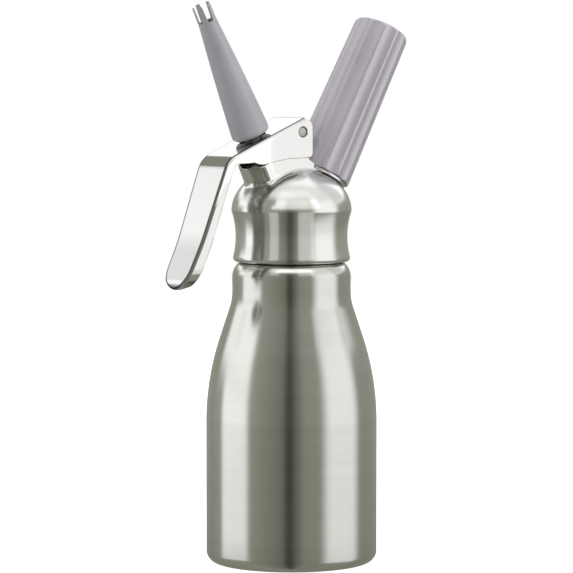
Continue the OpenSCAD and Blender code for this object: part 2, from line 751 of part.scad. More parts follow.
bottle();
neck_ring();
head_seal();
head();
lever();
lever_pin();
valve_stem();
valve_seal();
stem_o_ring();
stem_collar();
valve_spring();
nozzle_seal();
nozzle();
charger_spigot();
pin_carrier();
carrier_o_ring();
piercing_pin();
charger_seal();
check_ball();
check_spring();
charger();
charger_cap();
holder_insert();
charger_holder();
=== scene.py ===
# A half litre cream whipper: steel bottle, screwed head with a pressed lever, a spring valve
# with a pronged nozzle, and a fluted holder for the gas charger. +Z is up, sizes are metres.
import json
import math

import bpy
import numpy as np
from mathutils import Matrix, Vector


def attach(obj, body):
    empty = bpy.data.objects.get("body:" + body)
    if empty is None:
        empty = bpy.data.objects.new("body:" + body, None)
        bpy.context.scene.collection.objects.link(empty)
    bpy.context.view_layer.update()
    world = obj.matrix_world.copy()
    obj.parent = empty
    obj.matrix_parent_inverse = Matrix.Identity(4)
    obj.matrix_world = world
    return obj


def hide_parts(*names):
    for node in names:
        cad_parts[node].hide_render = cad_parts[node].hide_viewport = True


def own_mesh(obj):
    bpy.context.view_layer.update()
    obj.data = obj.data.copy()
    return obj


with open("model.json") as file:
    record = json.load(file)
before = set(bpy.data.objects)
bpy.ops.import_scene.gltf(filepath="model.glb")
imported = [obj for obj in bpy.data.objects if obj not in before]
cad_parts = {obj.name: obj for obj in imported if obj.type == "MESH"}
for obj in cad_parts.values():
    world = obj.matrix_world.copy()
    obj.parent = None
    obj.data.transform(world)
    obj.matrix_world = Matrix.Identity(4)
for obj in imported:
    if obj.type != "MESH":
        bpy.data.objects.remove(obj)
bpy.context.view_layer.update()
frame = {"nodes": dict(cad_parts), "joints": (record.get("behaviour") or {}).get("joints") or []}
scene = bpy.context.scene
mm = 0.001

# ---- Axes ----
# The valve and the charging side are both turned off the bottle's axis at one point, the hub.
# Their directions and the lever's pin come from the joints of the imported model.
joints = {joint["name"]: joint for joint in frame["joints"]}
hub = Vector(joints["nozzle_turn"]["pos_m"])
valve_axis = Vector(joints["nozzle_turn"]["axis"])
charge_axis = Vector(joints["holder_turn"]["axis"])
pin_place = Vector(joints["lever_pivot"]["pos_m"])
up = Vector((0, 0, 1))
upright = Matrix.Identity(4)
on_valve = Matrix.Translation(hub) @ up.rotation_difference(valve_axis).to_matrix().to_4x4()
on_charging = Matrix.Translation(hub) @ up.rotation_difference(charge_axis).to_matrix().to_4x4()


def reach(node, place=upright):
    """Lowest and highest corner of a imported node, measured along the axes of a place."""
    inverse = place.inverted()
    points = np.array([inverse @ v.co for v in frame["nodes"][node].data.vertices])
    return Vector(points.min(0)), Vector(points.max(0))


# ---- Camera ----
# A long lens a little above the middle of the object, turned towards the lever's side.
azimuth = math.radians(-35)
eye_distance = 1.5
eye_height = 0.23
aim = Vector((-1.92 * mm, 1.34 * mm, 129.5 * mm))
pitch_angle = math.asin((eye_height - aim.z) / eye_distance)
towards_eye = Vector((math.sin(azimuth) * math.cos(pitch_angle),
                      -math.cos(azimuth) * math.cos(pitch_angle), math.sin(pitch_angle)))
camera_data = bpy.data.cameras.new("camera")
camera_data.sensor_fit = "HORIZONTAL"
camera_data.sensor_width = 36
camera_data.lens = 201.4
camera_data.clip_end = 50
camera = bpy.data.objects.new("camera", camera_data)
camera.location = aim + towards_eye * eye_distance
camera.rotation_euler = (-towards_eye).to_track_quat("-Z", "Y").to_euler()
scene.collection.objects.link(camera)
scene.camera = camera


# ---- Bottle ----
# A deep drawn stainless bottle, brushed round its axis on the outside. Its long shoulder runs
# into a short neck, and the lip turns in over the ring that carries the thread.
def node(tree, kind, sockets=None, **settings):
    """Adds a node to a tree, sets it, and links or fills its inputs."""
    made = tree.nodes.new(kind)
    for name, value in settings.items():
        setattr(made, name, value)
    for name, value in (sockets or {}).items():
        if isinstance(value, bpy.types.NodeSocket):
            tree.links.new(value, made.inputs[name])
        else:
            made.inputs[name].default_value = value
    return made


def maths(operation, *values):
    """The result of a Math node on numbers and on sockets of one tree."""
    tree = next(value.id_data for value in values if isinstance(value, bpy.types.NodeSocket))
    return node(tree, "ShaderNodeMath", dict(enumerate(values)), operation=operation).outputs[0]


def spread(value, low, high, start=0.0, end=1.0):
    """Maps a value between start and end onto the range from low to high."""
    return node(value.id_data, "ShaderNodeMapRange", {
        "Value": value, "From Min": start, "From Max": end, "To Min": low, "To Max": high}).outputs[0]


socket_kinds = {tuple: "Vector", float: "Float", int: "Int"}


def node_group(name, kind, inputs, outputs):
    """A new node group. Each input has a default value, or else the name of its kind."""
    tree = bpy.data.node_groups.new(name, kind)
    for label, default in inputs.items():
        carries = socket_kinds.get(type(default), default)
        socket = tree.interface.new_socket(label, in_out="INPUT", socket_type="NodeSocket" + carries)
        if carries != default:
            socket.default_value = default
    for label, carries in outputs.items():
        tree.interface.new_socket(label, in_out="OUTPUT", socket_type="NodeSocket" + carries)
    return tree, tree.nodes.new("NodeGroupInput").outputs, tree.nodes.new("NodeGroupOutput").inputs


def stretched_noise(place, stretch, detail=2.0):
    """Noise whose grain is drawn out along the axes where stretch is small."""
    tree = place.id_data
    scaled = node(tree, "ShaderNodeVectorMath", {0: place, 1: stretch}, operation="MULTIPLY")
    return node(tree, "ShaderNodeTexNoise", {
        "Vector": scaled.outputs[0], "Scale": 1.0, "Detail": detail, "Roughness": 0.6}).outputs["Fac"]


# Fine lines that run round the Z axis of the coordinates, as a lathe or a belt leaves them
turning_lines, given, result = node_group(
    "Turning lines", "ShaderNodeTree", {"Place": (0.0, 0.0, 0.0), "Lines per mm": 6.0},
    {"Height": "Float", "Bands": "Float"})
fine = maths("MULTIPLY", given["Lines per mm"], 1000.0)
stretch = node(turning_lines, "ShaderNodeCombineXYZ", {0: 40.0, 1: 40.0, 2: fine}).outputs[0]
turning_lines.links.new(stretched_noise(given["Place"], stretch), result["Height"])
turning_lines.links.new(stretched_noise(given["Place"], (9.0, 9.0, 260.0), 1.0), result["Bands"])

# Soft patches left by hands and by wiping
smudges, given, result = node_group(
    "Smudges", "ShaderNodeTree", {"Place": (0.0, 0.0, 0.0), "Patches per metre": 30.0}, {"Mask": "Float"})
patches = node(smudges, "ShaderNodeTexNoise", {
    "Vector": given["Place"], "Scale": given["Patches per metre"], "Detail": 3.0, "Roughness": 0.55})
smudges.links.new(spread(patches.outputs["Fac"], 0.0, 1.0, 0.38, 0.68), result["Mask"])


def material(name, color, roughness, **sockets):
    """A material with one Principled shader. Socket names are written with underscores."""
    made = bpy.data.materials.new(name)
    made.use_nodes = True
    tree = made.node_tree
    shader = tree.nodes["Principled BSDF"]
    shader.inputs["Base Color"].default_value = (*color, 1.0)
    shader.inputs["Roughness"].default_value = roughness
    for key, value in sockets.items():
        shader.inputs[key.replace("_", " ")].default_value = value
    return made, tree, shader


def use(tree, group, **values):
    """Places a shader group in a material, on the object's own coordinates."""
    place = node(tree, "ShaderNodeTexCoord").outputs["Object"]
    given = {key.replace("_", " "): value for key, value in values.items()}
    return node(tree, "ShaderNodeGroup", {"Place": place, **given}, node_tree=group).outputs


def shade(value, color, first, last):
    """A colour that runs from one strength of itself to another."""
    ends = [(*(min(1.0, strength * c) for c in color), 1.0) for strength in (first, last)]
    return node(value.id_data, "ShaderNodeMix", {0: value, 6: ends[0], 7: ends[1]},
                data_type="RGBA").outputs[2]


def bump(shader, height, depth):
    """Gives a shader relief of a real depth."""
    made = node(height.id_data, "ShaderNodeBump", {"Height": height, "Distance": depth, "Strength": 1.0})
    height.id_data.links.new(made.outputs[0], shader.inputs["Normal"])


def brushed_metal(name, color, roughness, lines=6.0, depth=0.004 * mm, anisotropic=0.6):
    """Metal with lines round its Z axis, which draw its highlights out along the axis."""
    made, tree, shader = material(name, color, roughness, Metallic=1.0, Anisotropic=anisotropic,
                                  Anisotropic_Rotation=0.25)
    tangent = node(tree, "ShaderNodeTangent", direction_type="RADIAL", axis="Z")
    tree.links.new(tangent.outputs[0], shader.inputs["Tangent"])
    turned_lines = use(tree, turning_lines, Lines_per_mm=lines)
    marks = use(tree, smudges, Patches_per_metre=25.0)
    worn = maths("ADD", maths("MULTIPLY", turned_lines["Bands"], 0.5), maths("MULTIPLY", marks["Mask"], 0.3))
    tree.links.new(spread(worn, roughness * 0.85, roughness * 1.2), shader.inputs["Roughness"])
    tree.links.new(shade(turned_lines["Bands"], color, 0.94, 1.04), shader.inputs["Base Color"])
    bump(shader, turned_lines["Height"], depth)
    return made


def arc(centre, radius, start, end, steps=16):
    """Points of an arc, from one angle to another, in degrees."""
    angles = np.radians(np.linspace(start, end, steps + 1))
    return [(centre[0] + radius * math.cos(a), centre[1] + radius * math.sin(a)) for a in angles]


def turned(outline, sides):
    """Turns radius and height points, up the outside and down the inside, round the Z axis."""
    vertices, rows, faces = [], [], []
    around = [(math.cos(a), math.sin(a)) for a in np.linspace(0, 2 * math.pi, sides, endpoint=False)]
    for radius, height in outline:
        if radius < 1e-7:
            rows.append([len(vertices)] * sides)
            vertices.append((0.0, 0.0, height))
        else:
            rows.append(range(len(vertices), len(vertices) + sides))
            vertices += [(radius * c, radius * s, height) for c, s in around]
    for low, high in zip(rows, rows[1:] + rows[:1]):
        for i in range(sides):
            j = (i + 1) % sides
            corners = list(dict.fromkeys([low[i], low[j], high[j], high[i]]))
            if len(corners) > 2:
                faces.append(corners)
    return vertices, faces


def softened(corners, steps=4):
    """An outline whose corners (radius, height, rounding) are rounded."""
    points = []
    for i, (x, y, rounding) in enumerate(corners):
        here = Vector((x, y))
        if not rounding:
            points.append((x, y))
            continue
        before = Vector(corners[i - 1][:2]) - here
        after = Vector(corners[(i + 1) % len(corners)][:2]) - here
        half = before.angle(after) / 2
        run = min(rounding / math.tan(half), before.length * 0.49, after.length * 0.49)
        first = here + before.normalized() * run
        last = here + after.normalized() * run
        for k in range(steps + 1):
            t = k / steps
            p = first * (1 - t) ** 2 + here * 2 * t * (1 - t) + last * t ** 2
            points.append((p.x, p.y))
    return points


def add_piece(name, shape, body, finish, place=upright, sharp=35, normals=None, masks=None):
    """Makes an object of vertices and faces, puts it in its place and on its body.

    Normals are for each vertex, before it is placed. Masks are values for each vertex that the
    material reads by name."""
    mesh = bpy.data.meshes.new(name)
    vertices, faces = shape
    mesh.from_pydata([place @ Vector(v) for v in vertices], [], faces)
    mesh.validate()
    mesh.shade_smooth()
    if normals is None:
        mesh.set_sharp_from_angle(angle=math.radians(sharp))
    else:
        mesh.normals_split_custom_set_from_vertices([place.to_3x3() @ Vector(n) for n in normals])
    for label, values in (masks or {}).items():
        mesh.attributes.new(label, "FLOAT", "POINT").data.foreach_set("value", values)
    mesh.materials.append(finish)
    made = bpy.data.objects.new(name, mesh)
    scene.collection.objects.link(made)
    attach(made, body)
    return made


body_r = reach("bottle")[1].x
body_h = 66 * mm
bottle_wall = 1.2 * mm
base_corner_r = 5.5 * mm
shoulder_r = 127 * mm
shoulder_angle = 18.2
neck_r = 27.75 * mm
neck_fillet_r = 25 * mm
neck_h = 6.4 * mm
lip_r = 9 * mm
lip_angle = 62.5
ring_r = 21.5 * mm
recess_r = 29 * mm
recess_h = 0.7 * mm
shoulder_cos = math.cos(math.radians(shoulder_angle))
shoulder_sin = math.sin(math.radians(shoulder_angle))
shoulder_end_r = body_r - shoulder_r * (1 - shoulder_cos)
fillet_start_r = neck_r + neck_fillet_r * (1 - shoulder_cos)
neck_z = (body_h + (shoulder_r + neck_fillet_r) * shoulder_sin
          + (shoulder_end_r - fillet_start_r) * shoulder_cos / shoulder_sin)
lip_z = neck_z + neck_h
lip_top = lip_z + lip_r * math.sin(math.radians(lip_angle))


def bottle_outline(inset):
    """The bottle's side from the floor to the end of the lip, moved inwards."""
    return [
        *arc((body_r - base_corner_r, base_corner_r), base_corner_r - inset, -90, 0, 12),
        *[(body_r - inset, base_corner_r + (body_h - base_corner_r) * i / 6) for i in range(1, 6)],
        *arc((body_r - shoulder_r, body_h), shoulder_r - inset, 0, shoulder_angle, 24),
        *arc((neck_r + neck_fillet_r, neck_z), neck_fillet_r + inset, 180 + shoulder_angle, 180, 12),
        *arc((neck_r - lip_r, lip_z), lip_r - inset, 0, lip_angle, 14),
        (ring_r, lip_z + (lip_r - inset) * math.sin(math.radians(lip_angle)))]


base = softened([(0, recess_h, 0), (recess_r, recess_h, 1 * mm), (recess_r + 1.5 * mm, 0, 1 * mm)])
inside = [(0, bottle_wall + recess_h), (recess_r, bottle_wall + recess_h), *bottle_outline(bottle_wall)[1:]]
bottle_steel = brushed_metal("bottle_steel", (0.62, 0.615, 0.58), 0.19, lines=5.0, anisotropic=0.5)
bottle = add_piece("bottle_shell", turned(base + bottle_outline(0) + inside[::-1], 256),
                   "bottle", bottle_steel)
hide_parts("bottle")

# ---- Neck ring and head seal ----
# A turned steel ring is welded under the lip and carries the coarse outside thread. A flat
# silicone seal lies on its top face.
def shape_tree(name, inputs):
    """A new geometry tree with named number inputs and a finish."""
    return node_group(name, "GeometryNodeTree", {"Geometry": "Geometry", **inputs, "Finish": "Material"},
                      {"Geometry": "Geometry"})


def end_tree(geometry, given, result):
    """Ends a geometry tree in real, painted geometry."""
    tree = geometry.id_data
    real = node(tree, "GeometryNodeRealizeInstances", {0: geometry}).outputs[0]
    painted = node(tree, "GeometryNodeSetMaterial", {"Geometry": real, "Material": given["Finish"]})
    tree.links.new(painted.outputs[0], result[0])


def grown(tree, finish, start=None, **values):
    """Vertices and faces that a geometry tree makes, from a starting shape if it needs one."""
    mesh = bpy.data.meshes.new("start")
    if start:
        mesh.from_pydata(start[0], [], start[1])
    holder = bpy.data.objects.new("start", mesh)
    scene.collection.objects.link(holder)
    modifier = holder.modifiers.new("shape", "NODES")
    modifier.node_group = tree
    given = {key.replace("_", " "): value for key, value in values.items()}
    given["Finish"] = finish
    for socket in tree.interface.items_tree:
        if socket.in_out == "INPUT" and socket.name in given:
            modifier[socket.identifier] = given[socket.name]
    graph = bpy.context.evaluated_depsgraph_get()
    made = bpy.data.meshes.new_from_object(holder.evaluated_get(graph), depsgraph=graph)
    bpy.data.objects.remove(holder)
    return [tuple(v.co) for v in made.vertices], [tuple(p.vertices) for p in made.polygons]


def helix(given, radius, height):
    """A coiled line round the Z axis that climbs like a right hand screw."""
    return node(radius.id_data, "GeometryNodeCurveSpiral", {
        "Resolution": given["Steps"], "Rotations": given["Turns"], "Start Radius": radius,
        "End Radius": radius, "Height": height, "Reverse": True}).outputs[0]


def swept(line, profile, **values):
    """A closed profile carried along a line without tilting, with its ends filled."""
    tree = line.id_data
    steady = node(tree, "GeometryNodeSetCurveNormal", {"Curve": line}, mode="Z_UP").outputs[0]
    return node(tree, "GeometryNodeCurveToMesh", {
        "Curve": steady, "Profile Curve": profile.outputs[0], "Fill Caps": True, **values}).outputs[0]


# A ridge that climbs round the Z axis and sinks into its root at both ends
screw_thread, given, result = shape_tree("Screw thread", {
    "Root radius": 0.0215, "Depth": 0.001, "Root width": 0.0017, "Pitch": 0.004, "Turns": 2.4,
    "Steps": 64, "Fade": 0.12})
spiral = helix(given, given["Root radius"], maths("MULTIPLY", given["Pitch"], given["Turns"]))
along = node(screw_thread, "GeometryNodeSplineParameter").outputs["Factor"]
from_end = maths("MINIMUM", along, maths("SUBTRACT", 1.0, along))
rise = maths("MINIMUM", maths("DIVIDE", from_end, given["Fade"]), 1.0)
fade = maths("MAXIMUM", rise, 0.02)
section = {}
for i, (out, side) in enumerate([(-0.4, -0.5), (-0.4, 0.5), (1.0, 0.2), (1.0, -0.2)]):
    section[f"Point {i + 1}"] = node(screw_thread, "ShaderNodeCombineXYZ", {
        0: maths("MULTIPLY", given["Depth"], out),
        1: maths("MULTIPLY", given["Root width"], side)}).outputs[0]
profile = node(screw_thread, "GeometryNodeCurvePrimitiveQuadrilateral", section, mode="POINTS")
end_tree(swept(spiral, profile, Scale=fade), given, result)


def ring_outline(inner_r, outer_r, low, high, *roundings):
    """Outline of a flat ring. The roundings, in mm, start at the lower inner corner."""
    corners = [(inner_r, low), (outer_r, low), (outer_r, high), (inner_r, high)]
    return softened([(*corner, size * mm) for corner, size in zip(corners, roundings)])


def joined(*shapes):
    """Several closed shapes as one list of vertices and faces."""
    vertices, faces = [], []
    for points, sides in shapes:
        faces += [tuple(i + len(vertices) for i in side) for side in sides]
        vertices += points
    return vertices, faces


def raised(shape, height):
    """A shape moved up its axis."""
    return [(x, y, z + height) for x, y, z in shape[0]], shape[1]


def thread(finish, radius, depth, width, pitch, turns, height, fade=0.12):
    """A screw thread on a cylinder, from a height upwards. Below zero its depth points inwards."""
    return raised(grown(screw_thread, finish, Root_radius=radius, Depth=depth, Root_width=width,
                        Pitch=pitch, Turns=float(turns), Steps=96, Fade=fade), height)


thread_h = 1.0 * mm
thread_pitch = 4.0 * mm
thread_w = 1.7 * mm
thread_turns = 2.4
thread_z = lip_top + 3.0 * mm
ring_low, ring_high = reach("neck_ring")
mouth_r = 19.5 * mm
neck_steel = brushed_metal("neck_steel", (0.70, 0.70, 0.68), 0.2, lines=9.0, anisotropic=0.4)
neck_outline = ring_outline(mouth_r, ring_r, ring_low.z, ring_high.z, 0.3, 0.2, 0.6, 0.5)
neck_thread = thread(neck_steel, ring_r, thread_h, thread_w, thread_pitch, thread_turns, thread_z)
neck_ring = add_piece("neck_ring_threaded", joined(turned(neck_outline, 160), neck_thread),
                      "bottle", neck_steel)
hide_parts("neck_ring")


def soft_plastic(name, color, roughness, relief=0.012 * mm, grain=2200.0, patches=40.0, **sockets):
    """Moulded plastic or rubber with a fine grain and faint handling marks."""
    made, tree, shader = material(name, color, roughness, **sockets)
    coordinates = node(tree, "ShaderNodeTexCoord").outputs["Object"]
    fine_grain = stretched_noise(coordinates, (grain, grain, grain))
    marks = use(tree, smudges, Patches_per_metre=patches)["Mask"]
    tree.links.new(spread(marks, roughness * 0.88, roughness * 1.15), shader.inputs["Roughness"])
    tree.links.new(shade(marks, color, 0.95, 1.03), shader.inputs["Base Color"])
    bump(shader, fine_grain, relief)
    return made


seal_white = soft_plastic("seal_white", (0.84, 0.83, 0.79), 0.5, grain=900.0)
seal_low, seal_high = reach("head_seal")
seal_inner_r = 19.3 * mm
seal_outline = ring_outline(seal_inner_r, seal_high.x, seal_low.z, seal_high.z, 0.4, 0.5, 0.5, 0.4)
seal = add_piece("head_seal_ring", turned(seal_outline, 128), "head_seal", seal_white)
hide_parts("head_seal")


# ---- Head ----
# A cast and turned head: a waisted collar with the inside thread, and above its crease a dome
# that flows into the valve's boss and the saddle that carries the lever.
collar_z = reach("head")[0].z
rim_z = ring_high.z
seal_top = seal_high.z
waist_r = 26.13 * mm
waist_z = rim_z - 5 * mm
dome_r = 28.1 * mm
dome_h = 20.6 * mm
crease_z = rim_z + 7.2 * mm
collar_edge_r = 1.9 * mm
thread_gap = 0.4 * mm
bore_r = ring_r + thread_h + thread_gap
flare = 2 * mm
flare_z = collar_z + 1.6 * mm
cavity_r = 19 * mm
cavity_top = rim_z + 15 * mm
cavity_top_r = 8 * mm
cavity_step = 2.6 * mm
waist_bulge = dome_r - waist_r
waist_curve_r = ((crease_z - waist_z) ** 2 + waist_bulge ** 2) / (2 * waist_bulge)
edge_z = collar_z + collar_edge_r
seam_depth = 1.5 * mm
seam_r = dome_r - 0.8 * mm


def waist(z):
    """Radius of the collar's hollow curve."""
    return waist_r + waist_curve_r - math.sqrt(waist_curve_r ** 2 - (z - waist_z) ** 2)


def dome(angle, shrink=0.0):
    """Radius and height of a point on the dome above the crease."""
    a = math.radians(angle)
    return (dome_r - shrink) * math.cos(a), crease_z + (dome_h - shrink) * math.sin(a)


def cavity_radius(z):
    """Radius of the tapered hollow above the seal."""
    taper = (z - seal_top - cavity_step) / (cavity_top - seal_top - cavity_step)
    return cavity_r + (cavity_top_r - cavity_r) * max(0.0, taper)


edge_r = waist(edge_z)
collar_side = [(waist(z), z) for z in np.linspace(edge_z, crease_z - 0.35 * mm, 26)]
crease_line = [(dome_r - 0.03 * mm, crease_z - 0.1 * mm), (dome_r - 0.01 * mm, crease_z + 0.08 * mm),
               dome(0.8), dome(1.6)]
collar_outline = [
    (bore_r + flare, collar_z), *arc((edge_r - collar_edge_r, edge_z), collar_edge_r, -90, 0, 8)[:-1],
    *collar_side, *crease_line, (seam_r, crease_z + 0.5 * mm), (seam_r, crease_z - seam_depth),
    (cavity_radius(crease_z - seam_depth), crease_z - seam_depth),
    *softened([(cavity_r, seal_top + cavity_step, 0.5 * mm), (cavity_r, seal_top, 0), (bore_r, seal_top, 0),
               (bore_r, flare_z, 0), (bore_r + flare, collar_z, 0)])[:-1]]
head_satin = brushed_metal("head_satin", (0.72, 0.715, 0.7), 0.21, lines=7.0, anisotropic=0.5)
inner_thread = thread(head_satin, bore_r, -thread_h, thread_w, thread_pitch, thread_turns - 0.4,
                      thread_z + thread_pitch / 2)
add_piece("head_collar", joined(turned(collar_outline, 256), inner_thread),
          "head", head_satin)


def skin(distance, low, high, cell):
    """A closed mesh of where a distance field is zero, as vertices and faces, and its normals."""
    counts = [int(math.ceil((b - a) / cell)) + 1 for a, b in zip(low, high)]
    x, y, z = [a + cell * np.arange(n) for a, n in zip(low, counts)]
    field = distance(x[:, None, None], y[None, :, None], z[None, None, :])
    field = np.broadcast_to(field, counts).astype(float)
    inside = field < 0
    total = np.zeros([n - 1 for n in counts] + [3])
    hits = np.zeros([n - 1 for n in counts])
    for axis in range(3):
        first = np.moveaxis(field, axis, 0)
        cut = first[:-1] / np.where(first[:-1] == first[1:], 1.0, first[:-1] - first[1:])
        crossed = np.moveaxis(inside, axis, 0)
        crossed = crossed[:-1] != crossed[1:]
        for j in (0, 1):
            for k in (0, 1):
                part = (slice(None), slice(j, cut.shape[1] - 1 + j), slice(k, cut.shape[2] - 1 + k))
                here = np.moveaxis(crossed[part], 0, axis)
                share = np.moveaxis(np.where(crossed[part], cut[part], 0.0), 0, axis)
                others = [a for a in range(3) if a != axis]
                total[..., axis] += share
                total[..., others[0]] += here * j
                total[..., others[1]] += here * k
                hits += here
    used = hits > 0
    index = np.full(used.shape, -1)
    index[used] = np.arange(used.sum())
    corner = np.argwhere(used)
    points = (corner + total[used] / hits[used][:, None]) * cell + np.array(low)
    faces = []
    for axis in range(3):
        b, c = (axis + 1) % 3, (axis + 2) % 3
        order = (axis, b, c)
        crossed = np.transpose(inside, order)
        start = crossed[:-1, 1:-1, 1:-1]
        change = start != crossed[1:, 1:-1, 1:-1]
        cells = np.transpose(index, order)
        around = [cells[:, :-1, :-1], cells[:, 1:, :-1], cells[:, 1:, 1:], cells[:, :-1, 1:]]
        quads = np.stack([a[change] for a in around], axis=1)
        flip = ~start[change]
        quads[flip] = quads[flip][:, ::-1]
        faces.append(quads)
    faces = np.concatenate(faces)
    step = cell * 0.05
    normals = np.zeros_like(points)
    for _ in range(3):
        value = distance(*points.T)
        for axis in range(3):
            ahead, behind = points.copy(), points.copy()
            ahead[:, axis] += step
            behind[:, axis] -= step
            normals[:, axis] = (distance(*ahead.T) - distance(*behind.T)) / (2 * step)
        size = np.maximum(np.linalg.norm(normals, axis=1), 0.2)
        normals /= size[:, None]
        points -= normals * np.clip(value / size, -cell / 2, cell / 2)[:, None]
    return (points, faces.tolist()), normals


def from_outline(points, u, v):
    """Distance of u and v from a closed outline, negative inside it."""
    shape = np.broadcast(u, v).shape
    nearest = np.full(shape, np.inf)
    inside = np.zeros(shape, bool)
    for (ax, ay), (bx, by) in zip(points, points[1:] + points[:1]):
        ex, ey = bx - ax, by - ay
        if ex == 0 and ey == 0:
            continue
        t = np.clip(((u - ax) * ex + (v - ay) * ey) / (ex * ex + ey * ey), 0, 1)
        nearest = np.minimum(nearest, (u - ax - t * ex) ** 2 + (v - ay - t * ey) ** 2)
        if ey != 0:
            inside ^= ((ay <= v) != (by <= v)) & (u < ax + ex * (v - ay) / ey)
    return np.where(inside, -1.0, 1.0) * np.sqrt(nearest)


def blended(a, b, radius):
    """Union of two fields with a hollow fillet."""
    return (np.maximum(radius, np.minimum(a, b))
            - np.hypot(np.maximum(radius - a, 0), np.maximum(radius - b, 0)))


def shared(a, b, radius):
    """Overlap of two fields with a rounded edge."""
    return (np.minimum(-radius, np.maximum(a, b))
            + np.hypot(np.maximum(radius + a, 0), np.maximum(radius + b, 0)))


def on_axis(place, x, y, z):
    """Distance from a place's axis and height along it."""
    inverse = np.array(place.inverted())
    u, v, w = (inverse[i, 0] * x + inverse[i, 1] * y + inverse[i, 2] * z + inverse[i, 3] for i in range(3))
    return np.hypot(u, v), w


def rod(place, x, y, z, radius, low, high, rounding=0.3 * mm):
    """A round bar along a place's axis."""
    off, height = on_axis(place, x, y, z)
    return shared(off - radius, np.abs(height - (low + high) / 2) - (high - low) / 2, rounding)


boss_r = 10.2 * mm
boss_top = 41.2 * mm
seat_at = 23 * mm
chamber_r = 7 * mm
chamber_floor = 31 * mm
pocket_r = 8 * mm
guide_r = 4.08 * mm
spigot_low, spigot_high = reach("charger_spigot", on_charging)
shank_r = 8.5 * mm
shank_len = 8.2 * mm
flange_under = spigot_low.z + shank_len
spigot_seat_r = 11.7 * mm
spot_gap = 0.55 * mm
spot_r = reach("charger_holder", on_charging)[1].x + spot_gap
pin_r = reach("lever_pin")[1].x - pin_place.x
lug_r = 3.6 * mm
lug_half_w = 10.6 * mm
saddle_left = -24.8 * mm
saddle_right = 9 * mm
saddle_foot = crease_z + 8.5 * mm
saddle_corner = 4 * mm
lug_run = 2.6 * mm
lug_back = 2 * mm
lug_step = 3.8 * mm
tilt = math.asin(-valve_axis.x)
across_pin = Matrix.Translation(pin_place) @ Matrix.Rotation(math.radians(90), 4, "X")


def boss_plane(x):
    """Height of the boss's top plane."""
    return hub.z + boss_top / math.cos(tilt) + x * math.tan(tilt)


lug_left = pin_place.x - lug_r - lug_run
lug_right = pin_place.x + lug_r + lug_back
saddle_side = [
    (saddle_right, saddle_foot), (saddle_left, saddle_foot), (saddle_left, boss_plane(saddle_left)),
    (lug_left, boss_plane(lug_left)), *arc((pin_place.x, pin_place.z), lug_r, 165, 10, 12),
    (lug_right, boss_plane(lug_left) - lug_step), (saddle_right, crease_z + dome_h - 0.6 * mm)]
past_saddle = saddle_right + 20 * mm
saddle_plan = [
    (past_saddle, -lug_half_w), (past_saddle, lug_half_w),
    *arc((saddle_left + saddle_corner, lug_half_w - saddle_corner), saddle_corner, 90, 180, 8),
    *arc((saddle_left + saddle_corner, saddle_corner - lug_half_w), saddle_corner, 180, 270, 8)]
dome_side = [(0.0, crease_z - seam_depth), (seam_r - 0.05 * mm, crease_z - seam_depth),
             (seam_r - 0.05 * mm, crease_z), *[dome(a, 0.04 * mm) for a in np.linspace(0, 90, 40)]]
hollow_foot = crease_z - 4 * mm
hollow_side = [
    (0.0, hollow_foot), (cavity_radius(hollow_foot), hollow_foot),
    (cavity_radius(crease_z), crease_z), (cavity_top_r, cavity_top), (0.0, cavity_top)]


def head_field(x, y, z):
    """The dome with its saddle, boss and spigot seat, less its hollows."""
    off = np.hypot(x, y)
    body = from_outline(dome_side, off, z)
    slanted = x + (z - boss_plane(saddle_left)) * math.tan(tilt)
    saddle = shared(from_outline(saddle_side, x, z), from_outline(saddle_plan, slanted, y), 0.8 * mm)
    boss = rod(on_valve, x, y, z, boss_r, seat_at, boss_top, 0.7 * mm)
    top = blended(saddle, boss, 1.2 * mm)
    whole = blended(body, top, 1.7 * mm)
    whole = blended(whole, rod(on_charging, x, y, z, spigot_seat_r, seat_at, flange_under), 0.6 * mm)
    whole = shared(whole, -rod(on_charging, x, y, z, spot_r, flange_under, 80 * mm, 0.05 * mm), 0.4 * mm)
    whole = shared(whole, -rod(on_charging, x, y, z, shank_r, spigot_low.z, 60 * mm), 0.3 * mm)
    whole = shared(whole, -from_outline(hollow_side, off, z), 0.3 * mm)
    whole = shared(whole, -rod(on_valve, x, y, z, pocket_r, 11 * mm, seat_at), 0.3 * mm)
    whole = shared(whole, -rod(on_valve, x, y, z, guide_r, 20 * mm, 40 * mm), 0.3 * mm)
    whole = shared(whole, -rod(on_valve, x, y, z, chamber_r, chamber_floor, 60 * mm), 0.4 * mm)
    whole = shared(whole, -rod(across_pin, x, y, z, pin_r + 0.02 * mm, -40 * mm, 40 * mm), 0.3 * mm)
    return np.maximum(whole, crease_z - seam_depth - z)


margin = 1 * mm
dome_shape, dome_normals = skin(
    head_field, (-dome_r - margin, -dome_r - margin, crease_z - seam_depth - margin),
    (dome_r + margin, dome_r + margin, pin_place.z + lug_r + margin), cell=0.45 * mm)
head_dome = add_piece("head_dome", dome_shape, "head", head_satin, normals=dome_normals)
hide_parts("head")

# ---- Lever pin ----
# A steel rod through the saddle's lug, its ends domed and set just inside the lever's cheeks.
pin_inset = 0.45 * mm
pin_half = reach("lever_pin")[1].y - pin_inset
pin_steel = brushed_metal("pin_steel", (0.42, 0.42, 0.41), 0.3, lines=14.0, anisotropic=0.0)
domed_end = [(pin_r, 0.5 * mm), (pin_r - 0.18 * mm, 0.22 * mm), (pin_r - 0.6 * mm, 0.07 * mm), (0.0, 0.0)]
pin_outline = [(r, pin_half - d) for r, d in domed_end] + [(r, d - pin_half) for r, d in domed_end[::-1]]
lever_pin = add_piece("lever_pin_rod", turned(pin_outline, 64), "head", pin_steel,
                      place=across_pin)
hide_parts("lever_pin")


